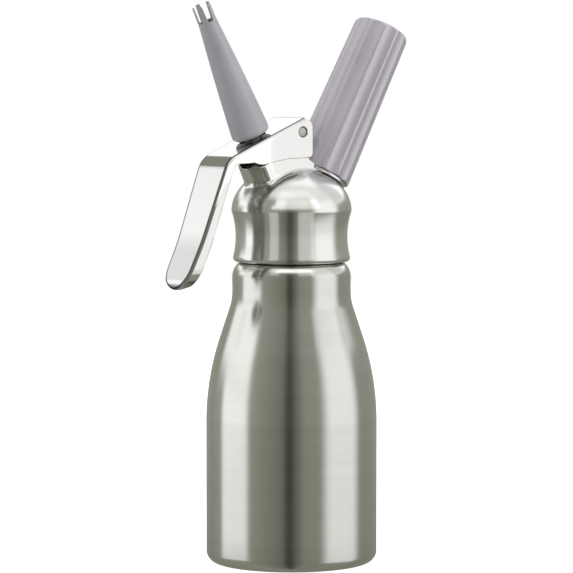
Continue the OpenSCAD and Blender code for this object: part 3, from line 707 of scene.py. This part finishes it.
# ---- Lever ----
# One pressing of polished stainless sheet: a sloping plate with deep cheeks at the pivot, a bend,
# and a handle whose turned edges run down to a curled, closed tip.
def ahead(point, angle, length):
    """The point a length away in a direction."""
    a = math.radians(angle)
    return point[0] + length * math.cos(a), point[1] + length * math.sin(a)


lever_t = 1.5 * mm
plate_at = 52.3 * mm
plate_slope = 24
lever_half_w = 13.4 * mm
bend_half_w = 12.2 * mm
tip_half_w = 10.6 * mm
bend_r = 12 * mm
plate_len = 46.8 * mm
handle_slope = 20
handle_len = 30 * mm
handle_kick = 5
kick_r = 110 * mm
tip_len = 14.2 * mm
tip_curl_r = 9 * mm
tip_curl = 34
tip_h = 10.5 * mm
flange_d = 4.2 * mm
tip_flange_d = 5.8 * mm
fold_r = 1.5 * mm
slot_r = 5.2 * mm
slot_travel = 1.5 * mm
axis_point = hub + valve_axis * plate_at
plate_end_x = -0.5 * mm
plate_end = (plate_end_x, axis_point.z + (plate_end_x - axis_point.x) * math.tan(math.radians(plate_slope)))
plate_down = 180 + plate_slope
handle_down = 270 - handle_slope
kick_down = handle_down - handle_kick
bend_back = bend_r * math.tan(math.radians(handle_down - plate_down) / 2)
plate_corner = ahead(plate_end, plate_down, plate_len)
bend_centre = ahead(ahead(plate_corner, plate_down, -bend_back), plate_down + 90, bend_r)
bend_end = ahead(plate_corner, handle_down, bend_back)
kick_centre = ahead(ahead(bend_end, handle_down, handle_len), handle_down - 90, kick_r)
curl_start = ahead(ahead(kick_centre, kick_down + 90, kick_r), kick_down, tip_len)
curl_centre = ahead(curl_start, kick_down + 90, tip_curl_r)
stations = [(plate_end, plate_down)]
stations += [(ahead(bend_centre, a - 90, bend_r), a) for a in np.linspace(plate_down, handle_down, 20)]
handle_stations = [(ahead(kick_centre, a + 90, kick_r), a) for a in np.linspace(handle_down, kick_down, 8)]
handle_stations += [(ahead(curl_centre, a - 90, tip_curl_r), a)
                    for a in np.linspace(kick_down, kick_down + tip_curl, 12)]
handle_stations = [stations[-1]] + handle_stations
stations += handle_stations[1:]
tip_z = stations[-1][0][1]


def flange_point(station):
    """Inner edge of the handle's flange at a station."""
    point, travel = station
    share = min(1.0, (bend_end[1] - point[1]) / (bend_end[1] - curl_start[1]))
    curled = max(0.0, (travel - kick_down) / tip_curl)
    depth = flange_d + (tip_flange_d - flange_d) * share
    return ahead(point, travel + 90, depth * math.sqrt(1.0 - 0.96 * curled ** 2.5))


far = 60 * mm
above_plate = ahead(plate_end, plate_slope + 90, far)
lever_back = [ahead(plate_end, plate_slope, far), *[point for point, _ in stations],
              ahead(*stations[-1], 10 * mm), (far, tip_z - 10 * mm)]
cheek_bottom = pin_place.z - 11.9 * mm
pin_edge = pin_place.x + 5.6 * mm
cheek_edge = [
    *arc((bend_end[0] + 7.6 * mm, cheek_bottom - 5.4 * mm), 3 * mm, 160, 90, 8),
    (axis_point.x - 7 * mm, cheek_bottom - 2 * mm), (axis_point.x - 5 * mm, cheek_bottom - 2.65 * mm),
    (axis_point.x - 3 * mm, cheek_bottom - 3.0 * mm), (axis_point.x - 1 * mm, cheek_bottom - 2.85 * mm),
    (axis_point.x + 2 * mm, cheek_bottom - 2 * mm), (pin_place.x - 7.5 * mm, cheek_bottom - 0.4 * mm),
    *arc((pin_edge - 2.2 * mm, cheek_bottom + 2.2 * mm), 2.2 * mm, -90, 0, 6),
    *arc((pin_edge - 3.9 * mm, pin_place.z + 2.1 * mm), 3.9 * mm, 0, 100, 10)]
lever_edge = [
    *[flange_point(station) for station in handle_stations[::-1]], *cheek_edge, plate_end, above_plate,
    (-far * 2, above_plate[1]), (-far * 2, tip_z - 5 * mm),
    ahead(stations[-1][0], stations[-1][1] - 90, 5 * mm)]
widths = [(20 * mm, lever_half_w), (plate_end[0], lever_half_w), (plate_corner[0] + 5 * mm, bend_half_w),
          (plate_corner[0] - 40 * mm, bend_half_w - 1.4 * mm)]
lever_plan = widths + [(x, -y) for x, y in widths[::-1]]
tip_round = [(tip_half_w * math.cos(a), tip_z + tip_h + tip_h * math.sin(a))
             for a in np.linspace(0, -math.pi / 2, 20)]
front = [(bend_half_w + 10 * mm, above_plate[1]), (bend_half_w + 10 * mm, bend_end[1] + 10 * mm),
         (bend_half_w - 0.2 * mm, bend_end[1]), *tip_round]
lever_front = front + [(-y, z) for y, z in front[-2::-1]]


def lever_sides(x, y, z):
    """Distances from the lever's back and from its two side faces."""
    width = np.maximum(from_outline(lever_plan, x, y), from_outline(lever_front, y, z))
    return from_outline(lever_back, x, z), width


def lever_field(x, y, z):
    """The pressed sheet: its outside less its inside, trimmed along its edges."""
    side, width = lever_sides(x, y, z)
    outside = shared(side, width, fold_r)
    inside = shared(side + lever_t, width + lever_t, 0.5 * mm)
    sheet = shared(np.maximum(outside, -inside), from_outline(lever_edge, x, z), 0.3 * mm)
    slope = math.radians(plate_slope)
    along_plate = (x - axis_point.x) * math.cos(slope) + (z - axis_point.z) * math.sin(slope)
    off_plate = (z - axis_point.z) * math.cos(slope) - (x - axis_point.x) * math.sin(slope)
    slot = np.hypot(np.maximum(np.abs(along_plate) - slot_travel, 0), y) - slot_r
    sheet = shared(sheet, -np.maximum(slot, np.abs(off_plate) - 4 * mm), 0.3 * mm)
    return shared(sheet, -rod(across_pin, x, y, z, pin_r + 0.05 * mm, -40 * mm, 40 * mm), 0.4 * mm)


def polished_metal(name, color, roughness):
    """Bright metal with a barely seen grain and faint handling marks, and a painted dark reflection where
    its vertex mask is 1.
    """
    made, tree, shader = material(name, color, roughness, Metallic=1.0)
    marks = use(tree, smudges, Patches_per_metre=45.0)["Mask"]
    tree.links.new(spread(marks, roughness * 0.7, roughness * 1.5), shader.inputs["Roughness"])
    place = node(tree, "ShaderNodeTexCoord").outputs["Object"]
    waviness = stretched_noise(place, (90.0, 90.0, 90.0), 1.0)
    bump(shader, waviness, 0.02 * mm)
    # Painted dark reflection: the colour falls to near black where the mask is 1.
    lines = node(tree, "ShaderNodeAttribute", attribute_name="painted_dark_reflection").outputs["Fac"]
    tree.links.new(shade(lines, color, 1.0, 0.08), shader.inputs["Base Color"])
    return made


def painted_dark_reflection(vertices):
    """A painted dark reflection as a mask for each vertex: 1 at the start of the folds and at the plate's
    end, 0 elsewhere.
    """
    side, width = lever_sides(*vertices.T)
    from_start = np.where(width < -fold_r, width + fold_r,
                          fold_r * np.arctan2(width + fold_r, np.maximum(side + fold_r, 1e-9)))
    outer = np.hypot(side + fold_r, np.maximum(width + fold_r, 0)) > 0.9 * fold_r
    folds = np.where(outer & (side > -fold_r), np.clip(2.0 - np.abs(from_start / mm - 0.3) / 0.4, 0, 1), 0.0)
    from_end = (plate_end[0] - vertices[:, 0]) / mm
    ends = np.where((side > -0.4 * mm) & (width < 0), np.clip((1.6 - from_end) / 0.5, 0, 1), 0.0)
    return np.maximum(folds, ends)


lever_polish = polished_metal("lever_polish", (0.69, 0.685, 0.675), 0.08)
lever_shape, lever_normals = skin(
    lever_field, (stations[-1][0][0] - 14 * mm, -lever_half_w - margin, tip_z - margin),
    (pin_edge + margin, lever_half_w + margin, plate_end[1] + margin), cell=0.42 * mm)
# Its mask paints a dark reflection into the polish along the folds and at the plate's end.
lever = add_piece("lever_pressing", lever_shape, "lever", lever_polish,
                  normals=lever_normals, masks={"painted_dark_reflection": painted_dark_reflection(lever_shape[0])})
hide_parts("lever")


# ---- Nozzle ----
# A moulded nozzle with a turned taper, a bore that grips the stem, and five prongs at its tip.
nozzle_low, nozzle_high = reach("nozzle", on_valve)
on_nozzle = on_valve @ Matrix.Translation((0, 0, nozzle_low.z))
nozzle_r = 9 * mm
tip_r = 4.45 * mm
nozzle_len = nozzle_high.z - nozzle_low.z
prong_count = 5
prong_len = 8.2 * mm
prong_root = 0.9 * mm
slit_w = 2.8 * mm
slit_flare = 0.05
prong_turn = 8
tip_wall = 0.85 * mm
foot_edge_r = 1.8 * mm
socket_r = 4.2 * mm
socket_top = reach("nozzle_seal", on_valve)[1].z - nozzle_low.z
slit_floor = nozzle_len - prong_len
root_z = slit_floor - prong_root
bead_z = slit_floor - 1.7 * mm
nozzle_side = [
    (socket_r, 0.0), *arc((nozzle_r - foot_edge_r, foot_edge_r), foot_edge_r, -90, 0, 10),
    *[(nozzle_r + (tip_r - nozzle_r) * u + 0.25 * mm * math.sin(math.pi * u),
       foot_edge_r + (root_z - foot_edge_r) * u) for u in np.linspace(0, 1, 24)[1:]],
    (tip_r, nozzle_len), (tip_r - tip_wall, nozzle_len), (tip_r - tip_wall, socket_top),
    (socket_r, socket_top)]


def nozzle_field(x, y, z):
    """The turned nozzle less the slits between its prongs."""
    body = from_outline(nozzle_side, np.hypot(x, y), z)
    body = shared(body, z - nozzle_len, 0.35 * mm)
    body = blended(body, np.hypot(np.hypot(x, y) - tip_r + 0.16 * mm, z - bead_z) - 0.3 * mm, 0.25 * mm)
    for i in range(prong_count):
        a = (i + 0.5) * 2 * math.pi / prong_count + math.radians(prong_turn)
        out = x * math.cos(a) + y * math.sin(a)
        side = y * math.cos(a) - x * math.sin(a)
        slit = shared(np.abs(side) - slit_w / 2 - slit_flare * (z - nozzle_len + prong_len / 2),
                      slit_floor - z, 0.5 * mm)
        body = shared(body, -np.maximum(slit, -out), 0.25 * mm)
    return body


nozzle_plastic = soft_plastic("nozzle_plastic", (0.31, 0.295, 0.325), 0.34)
nozzle_shape, nozzle_normals = skin(
    nozzle_field, (-nozzle_r - margin, -nozzle_r - margin, -margin),
    (nozzle_r + margin, nozzle_r + margin, nozzle_len + margin), cell=0.31 * mm)
nozzle = add_piece("nozzle_pronged", nozzle_shape, "nozzle", nozzle_plastic,
                   place=on_nozzle, normals=nozzle_normals)
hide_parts("nozzle")


# ---- Charger holder ----
# A moulded sleeve with shallow flutes for the grip and a domed end. A threaded metal insert in
# its mouth screws onto the spigot.
flutes, given, result = shape_tree("Flutes", {
    "Radius": 0.0145, "Lean": 0.0175, "Groove radius": 0.009, "Depth": 0.0008, "Count": 12,
    "Edge": 0.0002})
vertex = node(flutes, "GeometryNodeInputPosition").outputs[0]
x, y, z = node(flutes, "ShaderNodeSeparateXYZ", {0: vertex}).outputs
off_axis = maths("SQRT", maths("ADD", maths("POWER", x, 2.0), maths("POWER", y, 2.0)))
around = maths("ARCTAN2", y, x)
step = maths("DIVIDE", 2 * math.pi, given["Count"])
from_middle = maths("SUBTRACT", maths("FLOORED_MODULO", around, step), maths("DIVIDE", step, 2.0))
centre = maths("SUBTRACT", maths("ADD", given["Radius"], given["Groove radius"]),
               maths("ADD", given["Depth"], maths("MULTIPLY", z, given["Lean"])))
across = maths("MULTIPLY", centre, maths("SINE", from_middle))
half_squared = maths("SUBTRACT", maths("POWER", given["Groove radius"], 2.0), maths("POWER", across, 2.0))
towards = maths("MULTIPLY", centre, maths("COSINE", from_middle))
groove = maths("SUBTRACT", towards, maths("SQRT", half_squared))
cut = maths("SMOOTH_MIN", off_axis, groove, given["Edge"])
factor = maths("DIVIDE", cut, maths("MAXIMUM", off_axis, 1e-6))
moved = node(flutes, "ShaderNodeCombineXYZ", {
    0: maths("MULTIPLY", x, factor), 1: maths("MULTIPLY", y, factor), 2: z}).outputs[0]
set_back = node(flutes, "GeometryNodeSetPosition", {"Geometry": given["Geometry"], "Position": moved})
end_tree(set_back.outputs[0], given, result)

holder_low, holder_high = reach("charger_holder", on_charging)
on_holder = on_charging @ Matrix.Translation((0, 0, holder_low.z))
holder_len = holder_high.z - holder_low.z
holder_r = 14.55 * mm
holder_top_r = 13.2 * mm
holder_edge_r = 2.2 * mm
holder_bore_r = 9.6 * mm
insert_low, insert_high = reach("holder_insert", on_charging)
insert_r = 12.3 * mm
flute_count = 12
flute_d = 0.8 * mm
flute_r = 9 * mm
bore_end = reach("charger", on_charging)[1].z + 0.3 * mm - holder_low.z
insert_end = insert_high.z - holder_low.z
crown = arc((holder_top_r - holder_edge_r, holder_len - holder_edge_r), holder_edge_r, 0, 78, 10)
holder_side = [
    (insert_r, 0.3 * mm), (insert_r + 0.3 * mm, 0.0), (holder_r - 0.5 * mm, 0.0),
    (holder_r - 0.15 * mm, 0.15 * mm), (holder_r, 0.5 * mm),
    *[(holder_r + (holder_top_r - holder_r) * u, holder_len * u) for u in np.linspace(0.05, 0.95, 19)],
    *crown,
    *[(crown[-1][0] * (1 - u), crown[-1][1] + (holder_len - crown[-1][1]) * (1 - (1 - u) ** 2))
      for u in np.linspace(0, 1, 12)[1:]],
    (0.0, bore_end), (holder_bore_r, bore_end), (holder_bore_r, insert_end), (insert_r, insert_end)]
holder_plastic = soft_plastic("holder_plastic", (0.42, 0.395, 0.435), 0.32, Metallic=0.42)
fluted = grown(flutes, holder_plastic, start=turned(holder_side, 288), Radius=holder_r,
               Lean=(holder_r - holder_top_r) / holder_len, Groove_radius=flute_r, Depth=flute_d,
               Count=flute_count, Edge=0.25 * mm)
holder = add_piece("charger_holder_fluted", fluted, "holder", holder_plastic,
                   place=on_holder, sharp=50)
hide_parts("charger_holder")


# ---- Valve ----
# A turned steel stem slides in the boss: its flange and white seal close the valve from below,
# a collar with a round crown is fixed on it above, and a coil spring under the collar shuts it.
# Painted shade: the stem and its collar get a darker colour than real steel, where they sit in shadow under
# the lever and the nozzle.
steel_painted_shade = brushed_metal("steel_painted_shade", (0.34, 0.34, 0.33), 0.3, lines=8.0, anisotropic=0.0)
stem_low, stem_high = reach("valve_stem", on_valve)
stem_r = 4 * mm
stem_bore_r = 1.5 * mm
stem_flange_r = 6 * mm
stem_flange_top = stem_low.z + 2.3 * mm
port_z = seat_at + 1.3 * mm
port_r = 1 * mm
wire_r = 0.72 * mm
groove_low = reach("stem_o_ring", on_valve)[0].z - 0.1 * mm
groove_high = groove_low + 2 * wire_r + 0.2 * mm
groove_r = stem_r - 2 * wire_r
stem_side = [
    (0.0, stem_low.z), *softened([
        (0.5 * mm, stem_low.z, 0), (stem_flange_r, stem_low.z, 0.4 * mm),
        (stem_flange_r, stem_flange_top, 0.3 * mm), (stem_r, stem_flange_top, 0.2 * mm),
        (stem_r, groove_low, 0.1 * mm), (groove_r, groove_low, 0.2 * mm), (groove_r, groove_high, 0.2 * mm),
        (stem_r, groove_high, 0.1 * mm), (stem_r, stem_high.z, 0.5 * mm),
        (stem_bore_r, stem_high.z, 0.25 * mm)])[1:], (stem_bore_r, port_z), (0.0, port_z)]


def stem_field(x, y, z):
    """The turned stem with its cross holes."""
    body = from_outline(stem_side, np.hypot(x, y), z)
    return shared(body, port_r - np.hypot(x, z - port_z), 0.2 * mm)


stem_shape, stem_normals = skin(stem_field, (-7 * mm, -7 * mm, stem_low.z - margin),
                                (7 * mm, 7 * mm, stem_high.z + margin), cell=0.3 * mm)
stem = add_piece("valve_stem_turned", stem_shape, "valve", steel_painted_shade, place=on_valve,
                 normals=stem_normals)
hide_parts("valve_stem")


def washer(name, place, inner_r, body, finish, rounding=0.4):
    """A flat ring with rounded edges in place of a packed one."""
    low, high = reach(name, place)
    outline = ring_outline(inner_r, high.x, low.z, high.z, *[rounding] * 4)
    made = add_piece(name + "_ring", turned(outline, 96), body, finish, place=place)
    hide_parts(name)


def o_ring(name, place, body):
    """A round rubber ring in place of a packed one."""
    low, high = reach(name, place)
    r = (high.z - low.z) / 2
    outline = arc((high.x - r, (low.z + high.z) / 2), r, -90, 270, 24)[:-1]
    made = add_piece(name + "_round", turned(outline, 96), body, rubber_dark, place=place)
    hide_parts(name)


rubber_dark = soft_plastic("rubber_dark", (0.035, 0.035, 0.037), 0.55, grain=1500.0)
washer("valve_seal", on_valve, stem_r + 0.01 * mm, "valve", seal_white)
o_ring("stem_o_ring", on_valve, "valve")
washer("nozzle_seal", on_valve, stem_bore_r + 0.7 * mm, "nozzle_seal", rubber_dark)

push_low, push_high = reach("stem_collar", on_valve)
crown_r = 12 * mm
push_r = push_high.x
crown_centre = push_high.z - math.sqrt(crown_r ** 2 - stem_r ** 2)
crown_edge = math.degrees(math.acos(push_r / crown_r))
crown_top = math.degrees(math.acos((stem_r + 0.3 * mm) / crown_r))
push_outline = [
    (stem_r, push_low.z + 0.3 * mm), (stem_r + 0.3 * mm, push_low.z), (push_r - 0.4 * mm, push_low.z),
    (push_r - 0.1 * mm, push_low.z + 0.1 * mm), (push_r, push_low.z + 0.4 * mm),
    *arc((0.0, crown_centre), crown_r, crown_edge, crown_top, 16), (stem_r, push_high.z - 0.1 * mm)]
push_collar = add_piece("stem_collar_crowned", turned(push_outline, 96), "valve", steel_painted_shade,
                        place=on_valve)
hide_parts("stem_collar")

# A coil of round wire along the Z axis, at one pitch from end to end
coil_spring, given, result = shape_tree("Coil spring", {
    "Radius": 0.0054, "Wire radius": 0.0006, "Height": 0.013, "Turns": 6.0, "Steps": 40, "Sides": 12})
coil = helix(given, given["Radius"], given["Height"])
wire = node(coil_spring, "GeometryNodeCurvePrimitiveCircle", {
    "Resolution": given["Sides"], "Radius": given["Wire radius"]})
end_tree(swept(coil, wire), given, result)

spring_steel = brushed_metal("spring_steel", (0.55, 0.55, 0.54), 0.22, lines=10.0, anisotropic=0.0)
spring_low, spring_high = reach("valve_spring", on_valve)
spring_r = 6 * mm
spring_wire_r = 0.6 * mm
on_spring = on_valve @ Matrix.Translation((0, 0, spring_low.z + spring_wire_r))
spring_coil = grown(coil_spring, spring_steel, Radius=spring_r - spring_wire_r, Wire_radius=spring_wire_r,
                    Height=spring_high.z - spring_low.z - 2 * spring_wire_r, Turns=6.0, Steps=40)
spring = add_piece("valve_spring_coil", spring_coil, "head", spring_steel, place=on_spring,
                   sharp=60)
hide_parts("valve_spring")
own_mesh(spring)

# ---- Charger spigot ----
# A turned steel spigot is screwed into the head: a flange seats on the dome, and a threaded
# stub stands inside the holder.
stub_r = 9.9 * mm
stub_ridge = 0.6 * mm
stub_pitch = 1.5 * mm
stub_plain = 2 * mm
flange_r = spigot_high.x
flange_t = 1.6 * mm
flange_top = flange_under + flange_t
carrier_low, carrier_high = reach("pin_carrier", on_charging)
carrier_r = carrier_high.x
gas_r = 1.5 * mm
spigot_metal = brushed_metal("spigot_metal", (0.7, 0.695, 0.68), 0.2, lines=9.0, anisotropic=0.3)
spigot_outline = softened([
    (gas_r, spigot_low.z, 0.2 * mm), (shank_r, spigot_low.z, 0.5 * mm), (shank_r, flange_under, 0.1 * mm),
    (flange_r, flange_under, 0.35 * mm), (flange_r, flange_top, 0.45 * mm), (stub_r, flange_top, 0.2 * mm),
    (stub_r, spigot_high.z, 0.6 * mm), (carrier_r + 0.1 * mm, spigot_high.z, 0.3 * mm),
    (carrier_r + 0.1 * mm, carrier_low.z, 0.1 * mm), (gas_r, carrier_low.z, 0.1 * mm)])
stub_turns = math.floor((spigot_high.z - flange_top - 3.5 * mm) / stub_pitch)
stub_thread = thread(spigot_metal, stub_r, stub_ridge, 0.9 * mm, stub_pitch, stub_turns,
                     flange_top + stub_plain, 0.05)
spigot = add_piece("charger_spigot_threaded", joined(turned(spigot_outline, 160), stub_thread),
                   "head", spigot_metal, place=on_charging)
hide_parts("charger_spigot")

# ---- Piercing pin and check valve ----
# A brass carrier in the spigot holds the hollow pin, and below it a ball on a light spring lets
# the gas through one way. A white seal grips the charger's neck.
carrier_brass = brushed_metal("carrier_brass", (0.78, 0.58, 0.27), 0.25, lines=10.0, anisotropic=0.0)
for name, finish in (("pin_carrier", carrier_brass), ("piercing_pin", pin_steel), ("check_ball", pin_steel)):
    packed = frame["nodes"][name]
    packed.data.materials.clear()
    packed.data.materials.append(finish)
o_ring("carrier_o_ring", on_charging, "head")
washer("charger_seal", on_charging, 1.6 * mm, "head", seal_white)
check_low, check_high = reach("check_spring", on_charging)
check_wire_r = 0.2 * mm
check_coil_r = 1.4 * mm
check_coil = grown(coil_spring, spring_steel, Radius=check_coil_r, Wire_radius=check_wire_r,
                   Height=check_high.z - check_low.z - 2 * check_wire_r, Turns=2.5, Steps=32, Sides=10)
check_spring = add_piece("check_spring_coil", check_coil, "head", spring_steel, sharp=60,
                         place=on_charging @ Matrix.Translation((0, 0, check_low.z + check_wire_r)))
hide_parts("check_spring")

# ---- Gas charger ----
# A small drawn and plated steel bulb, closed by a thin cap in its neck.
charger_low, charger_high = reach("charger", on_charging)
charger_r = charger_high.x
charger_neck_r = 4.3 * mm
charger_neck = 7 * mm
charger_shoulder = 8 * mm
charger_wall = 1.3 * mm


def charger_side(inset):
    """The bulb's side from its neck to its round end, moved inwards."""
    neck, body = charger_neck_r - inset, charger_r - inset
    slope = [(neck + (body - neck) * (1 - math.cos(math.pi * u)) / 2, charger_neck + charger_shoulder * u)
             for u in np.linspace(0, 1, 16)]
    end = charger_high.z - charger_low.z - charger_r
    return [(neck, 0.35 * mm if inset == 0 else 0.0), *slope, *arc((0.0, end), body, 0, 90, 16)]


charger_steel = brushed_metal("charger_steel", (0.66, 0.66, 0.65), 0.28, lines=5.0, anisotropic=0.2)
charger_outline = [(charger_neck_r - 0.35 * mm, 0.0), *charger_side(0), *charger_side(charger_wall)[::-1]]
charger = add_piece("charger_bulb", turned(charger_outline, 128), "charger", charger_steel,
                    place=on_charging @ Matrix.Translation((0, 0, charger_low.z)))
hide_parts("charger")
washer("charger_cap", on_charging, 1.25 * mm, "charger", spring_steel, 0.1)

# ---- Holder insert ----
# The threaded metal ring that is moulded into the holder's mouth.
insert_bore_r = stub_r + stub_ridge + 0.25 * mm
insert_outline = ring_outline(insert_bore_r, insert_high.x, insert_low.z, insert_high.z, 0.4, 0.2, 0.2, 0.4)
insert_thread = thread(spigot_metal, insert_bore_r, -0.2 * mm, 0.7 * mm, stub_pitch, 6.0,
                       insert_low.z + 1.6 * mm, 0.05)
insert = add_piece("holder_insert_threaded", joined(turned(insert_outline, 160), insert_thread),
                   "holder", spigot_metal, place=on_charging)
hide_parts("holder_insert")

# ---- Studio ----
# A white floor and background. Mirror-like metal sees a room of bright and dark panels instead of
# them, and strips of small lamps near the head. Soft boxes light all that isn't mirror-like.
floor_r = 2
floor_sides = 96
floor_corners = np.linspace(0, 2 * math.pi, floor_sides, endpoint=False)
floor_mesh = bpy.data.meshes.new("floor")
floor_mesh.from_pydata([(floor_r * math.cos(a), floor_r * math.sin(a), 0.0) for a in floor_corners],
                       [], [tuple(range(floor_sides))])
floor = bpy.data.objects.new("floor", floor_mesh)
scene.collection.objects.link(floor)
floor_paint = bpy.data.materials.new("floor_paint")
floor_paint.use_nodes = True
paint = floor_paint.node_tree
paint.nodes.clear()
seen = node(paint, "ShaderNodeLightPath").outputs
lit = node(paint, "ShaderNodeBsdfDiffuse", {"Color": (0.6, 0.6, 0.6, 1)})
glow = node(paint, "ShaderNodeEmission", {"Color": (1, 1, 1, 1), "Strength": seen["Is Camera Ray"]})
both = node(paint, "ShaderNodeAddShader", {0: lit.outputs[0], 1: glow.outputs[0]})
through = node(paint, "ShaderNodeBsdfTransparent")
covered = node(paint, "ShaderNodeMixShader", {
    0: seen["Is Glossy Ray"], 1: both.outputs[0], 2: through.outputs[0]})
paint.links.new(covered.outputs[0], node(paint, "ShaderNodeOutputMaterial").inputs["Surface"])
floor_mesh.materials.append(floor_paint)

world = bpy.data.worlds.new("studio")
scene.world = world
world.use_nodes = True
world.cycles.sampling_method = "NONE"
sky = world.node_tree
sky.nodes.clear()
ray = node(sky, "ShaderNodeTexCoord").outputs["Generated"]
turned_ray = node(sky, "ShaderNodeVectorRotate", {"Vector": ray, "Angle": -azimuth},
                  rotation_type="Z_AXIS").outputs[0]
ray_x, ray_y, ray_z = node(sky, "ShaderNodeSeparateXYZ", {0: turned_ray}).outputs
degrees = 180 / math.pi
bearing = maths("MULTIPLY", maths("ARCTAN2", ray_x, maths("MULTIPLY", ray_y, -1.0)), degrees)
height = maths("MULTIPLY", maths("ARCSINE", ray_z), degrees)


def ramp(value, low, high):
    """0 below a limit and 1 above another, with a smooth step between them."""
    return node(value.id_data, "ShaderNodeMapRange", {"Value": value, "From Min": low, "From Max": high},
                interpolation_type="SMOOTHSTEP").outputs[0]


def between(value, low, high, edge):
    """1 where a value lies between two limits, with soft edges."""
    rising = ramp(value, low - edge, low + edge)
    falling = ramp(value, high + edge, high - edge)
    return maths("MULTIPLY", rising, falling)


def hang(room, level, bearings, heights, side_edge, edge):
    """The room's light with a panel of one level hung between two bearings and two heights."""
    panel = maths("MULTIPLY", between(bearing, *bearings, side_edge), between(height, *heights, edge))
    return node(sky, "ShaderNodeMix", {0: panel, 2: room, 3: level}).outputs[0]


# Level, bearings from the eye's side and heights in degrees, and how soft the edges are. A panel
# covers those before it.
panels = [
    (0.37, (14, 60), (-120, 40), 6, 5), (0.06, (-9, 3), (-120, 40), 6, 5),
    (0.37, (98, 500), (-120, 12), 4, 4), (0.37, (-500, -128), (-120, 12), 4, 4),
    (1.42, (98, 500), (16, 120), 4, 4), (1.42, (-500, -128), (16, 120), 4, 4),
    (1.0, (-128, 98), (44, 120), 8, 8), (1.4, (-108, -62), (-14, 8), 5, 5),
    (1.4, (-128, -62), (8, 60), 5, 5), (1.26, (46, 98), (-26, 60), 9, 5),
    (1.02, (43, 92), (27, 60), 5, 5), (0.85, (94, 135), (18, 60), 5, 5),
    (1.0, (-126, -96), (20, 60), 4, 4), (0.55, (-128, -86), (32, 60), 4, 4),
    (0.3, (-157, -119.5), (25, 42), 1, 1)]
room = spread(maths("ABSOLUTE", bearing), 0.22, 0.42, 6.0, 60.0)
for panel in panels:
    room = hang(room, *panel)
mirrored = maths("MULTIPLY", room, spread(height, 0.78, 1.0, -9.0, -6.4))
path = node(sky, "ShaderNodeLightPath").outputs
unseen = node(sky, "ShaderNodeMix", {0: path["Is Glossy Ray"], 2: 0.55, 3: mirrored}).outputs[0]
level = node(sky, "ShaderNodeMix", {0: path["Is Camera Ray"], 2: unseen, 3: 1.0}).outputs[0]
warm = node(sky, "ShaderNodeMix", {0: ramp(level, 0.3, 0.6), 6: (1, 1, 0.84, 1), 7: (1, 1, 1, 1)},
            data_type="RGBA").outputs[2]
background = node(sky, "ShaderNodeBackground", {"Color": warm, "Strength": level})
sky.links.new(background.outputs[0], node(sky, "ShaderNodeOutputWorld").inputs["Surface"])


def add_lamp(name, place, facing, size, watts):
    """A rectangular area lamp that faces one way."""
    lamp = bpy.data.lights.new(name, "AREA")
    lamp.shape = "RECTANGLE"
    lamp.size, lamp.size_y = size
    lamp.energy = watts
    made = bpy.data.objects.new(name, lamp)
    made.location = place
    made.rotation_euler = facing.to_track_quat("-Z", "Y").to_euler()
    scene.collection.objects.link(made)
    return made


lamp_span_deg = 20


def strip_lights(name, bearings, heights, radius, levels):
    """Small flat lamps in a ring about the head that only mirror-like metal shows. They run from
    one level of light at their left to another at their right."""
    count = math.ceil((bearings[1] - bearings[0]) / lamp_span_deg)
    step = (bearings[1] - bearings[0]) / count
    half = math.radians(step / 2)
    size = (2 * radius * math.sin(half), heights[1] - heights[0])
    for i in range(count):
        a = azimuth + math.radians(bearings[0] + (i + 0.5) * step)
        out = Vector((math.sin(a), -math.cos(a), 0))
        level = levels[0] + (levels[1] - levels[0]) * (i + 0.5) / count
        made = add_lamp(f"{name}_{i}", out * radius * math.cos(half) + up * sum(heights) / 2, -out, size,
                        level * size[0] * size[1] * math.pi)
        made.visible_camera = False
        made.visible_diffuse = False
        made.visible_transmission = False


dome_ring = 0.066
collar_ring = 0.042
strip_lights("dome_low", (-31, 44), (0.174, 0.183), dome_ring, (1.08, 0.5))
strip_lights("dome_middle", (-26, 44), (0.183, 0.205), dome_ring, (1.08, 0.5))
strip_lights("dome_high", (-31, 44), (0.205, 0.3), dome_ring, (0.32, 0.15))
strip_lights("right_collar", (9, 31), (0.143, 0.163), collar_ring, (0.36, 0.33))
strip_lights("left_collar", (-31, -18), (0.143, 0.163), collar_ring, (0.36, 0.36))
box_distance = 1.6


def soft_box(name, bearing_deg, height_deg, size, watts):
    """An area lamp that faces the middle of the object."""
    a = azimuth + math.radians(bearing_deg)
    e = math.radians(height_deg)
    back = Vector((math.sin(a) * math.cos(e), -math.cos(a) * math.cos(e), math.sin(e)))
    add_lamp(name, aim + back * box_distance, -back, size, watts).visible_glossy = False


soft_box("right_box", 72, 20, (0.8, 1.4), 17)
soft_box("left_box", -75, 18, (0.8, 1.4), 13)
soft_box("top_box", 20, 75, (1.4, 1.4), 11)

scene.view_settings.view_transform = "Standard"
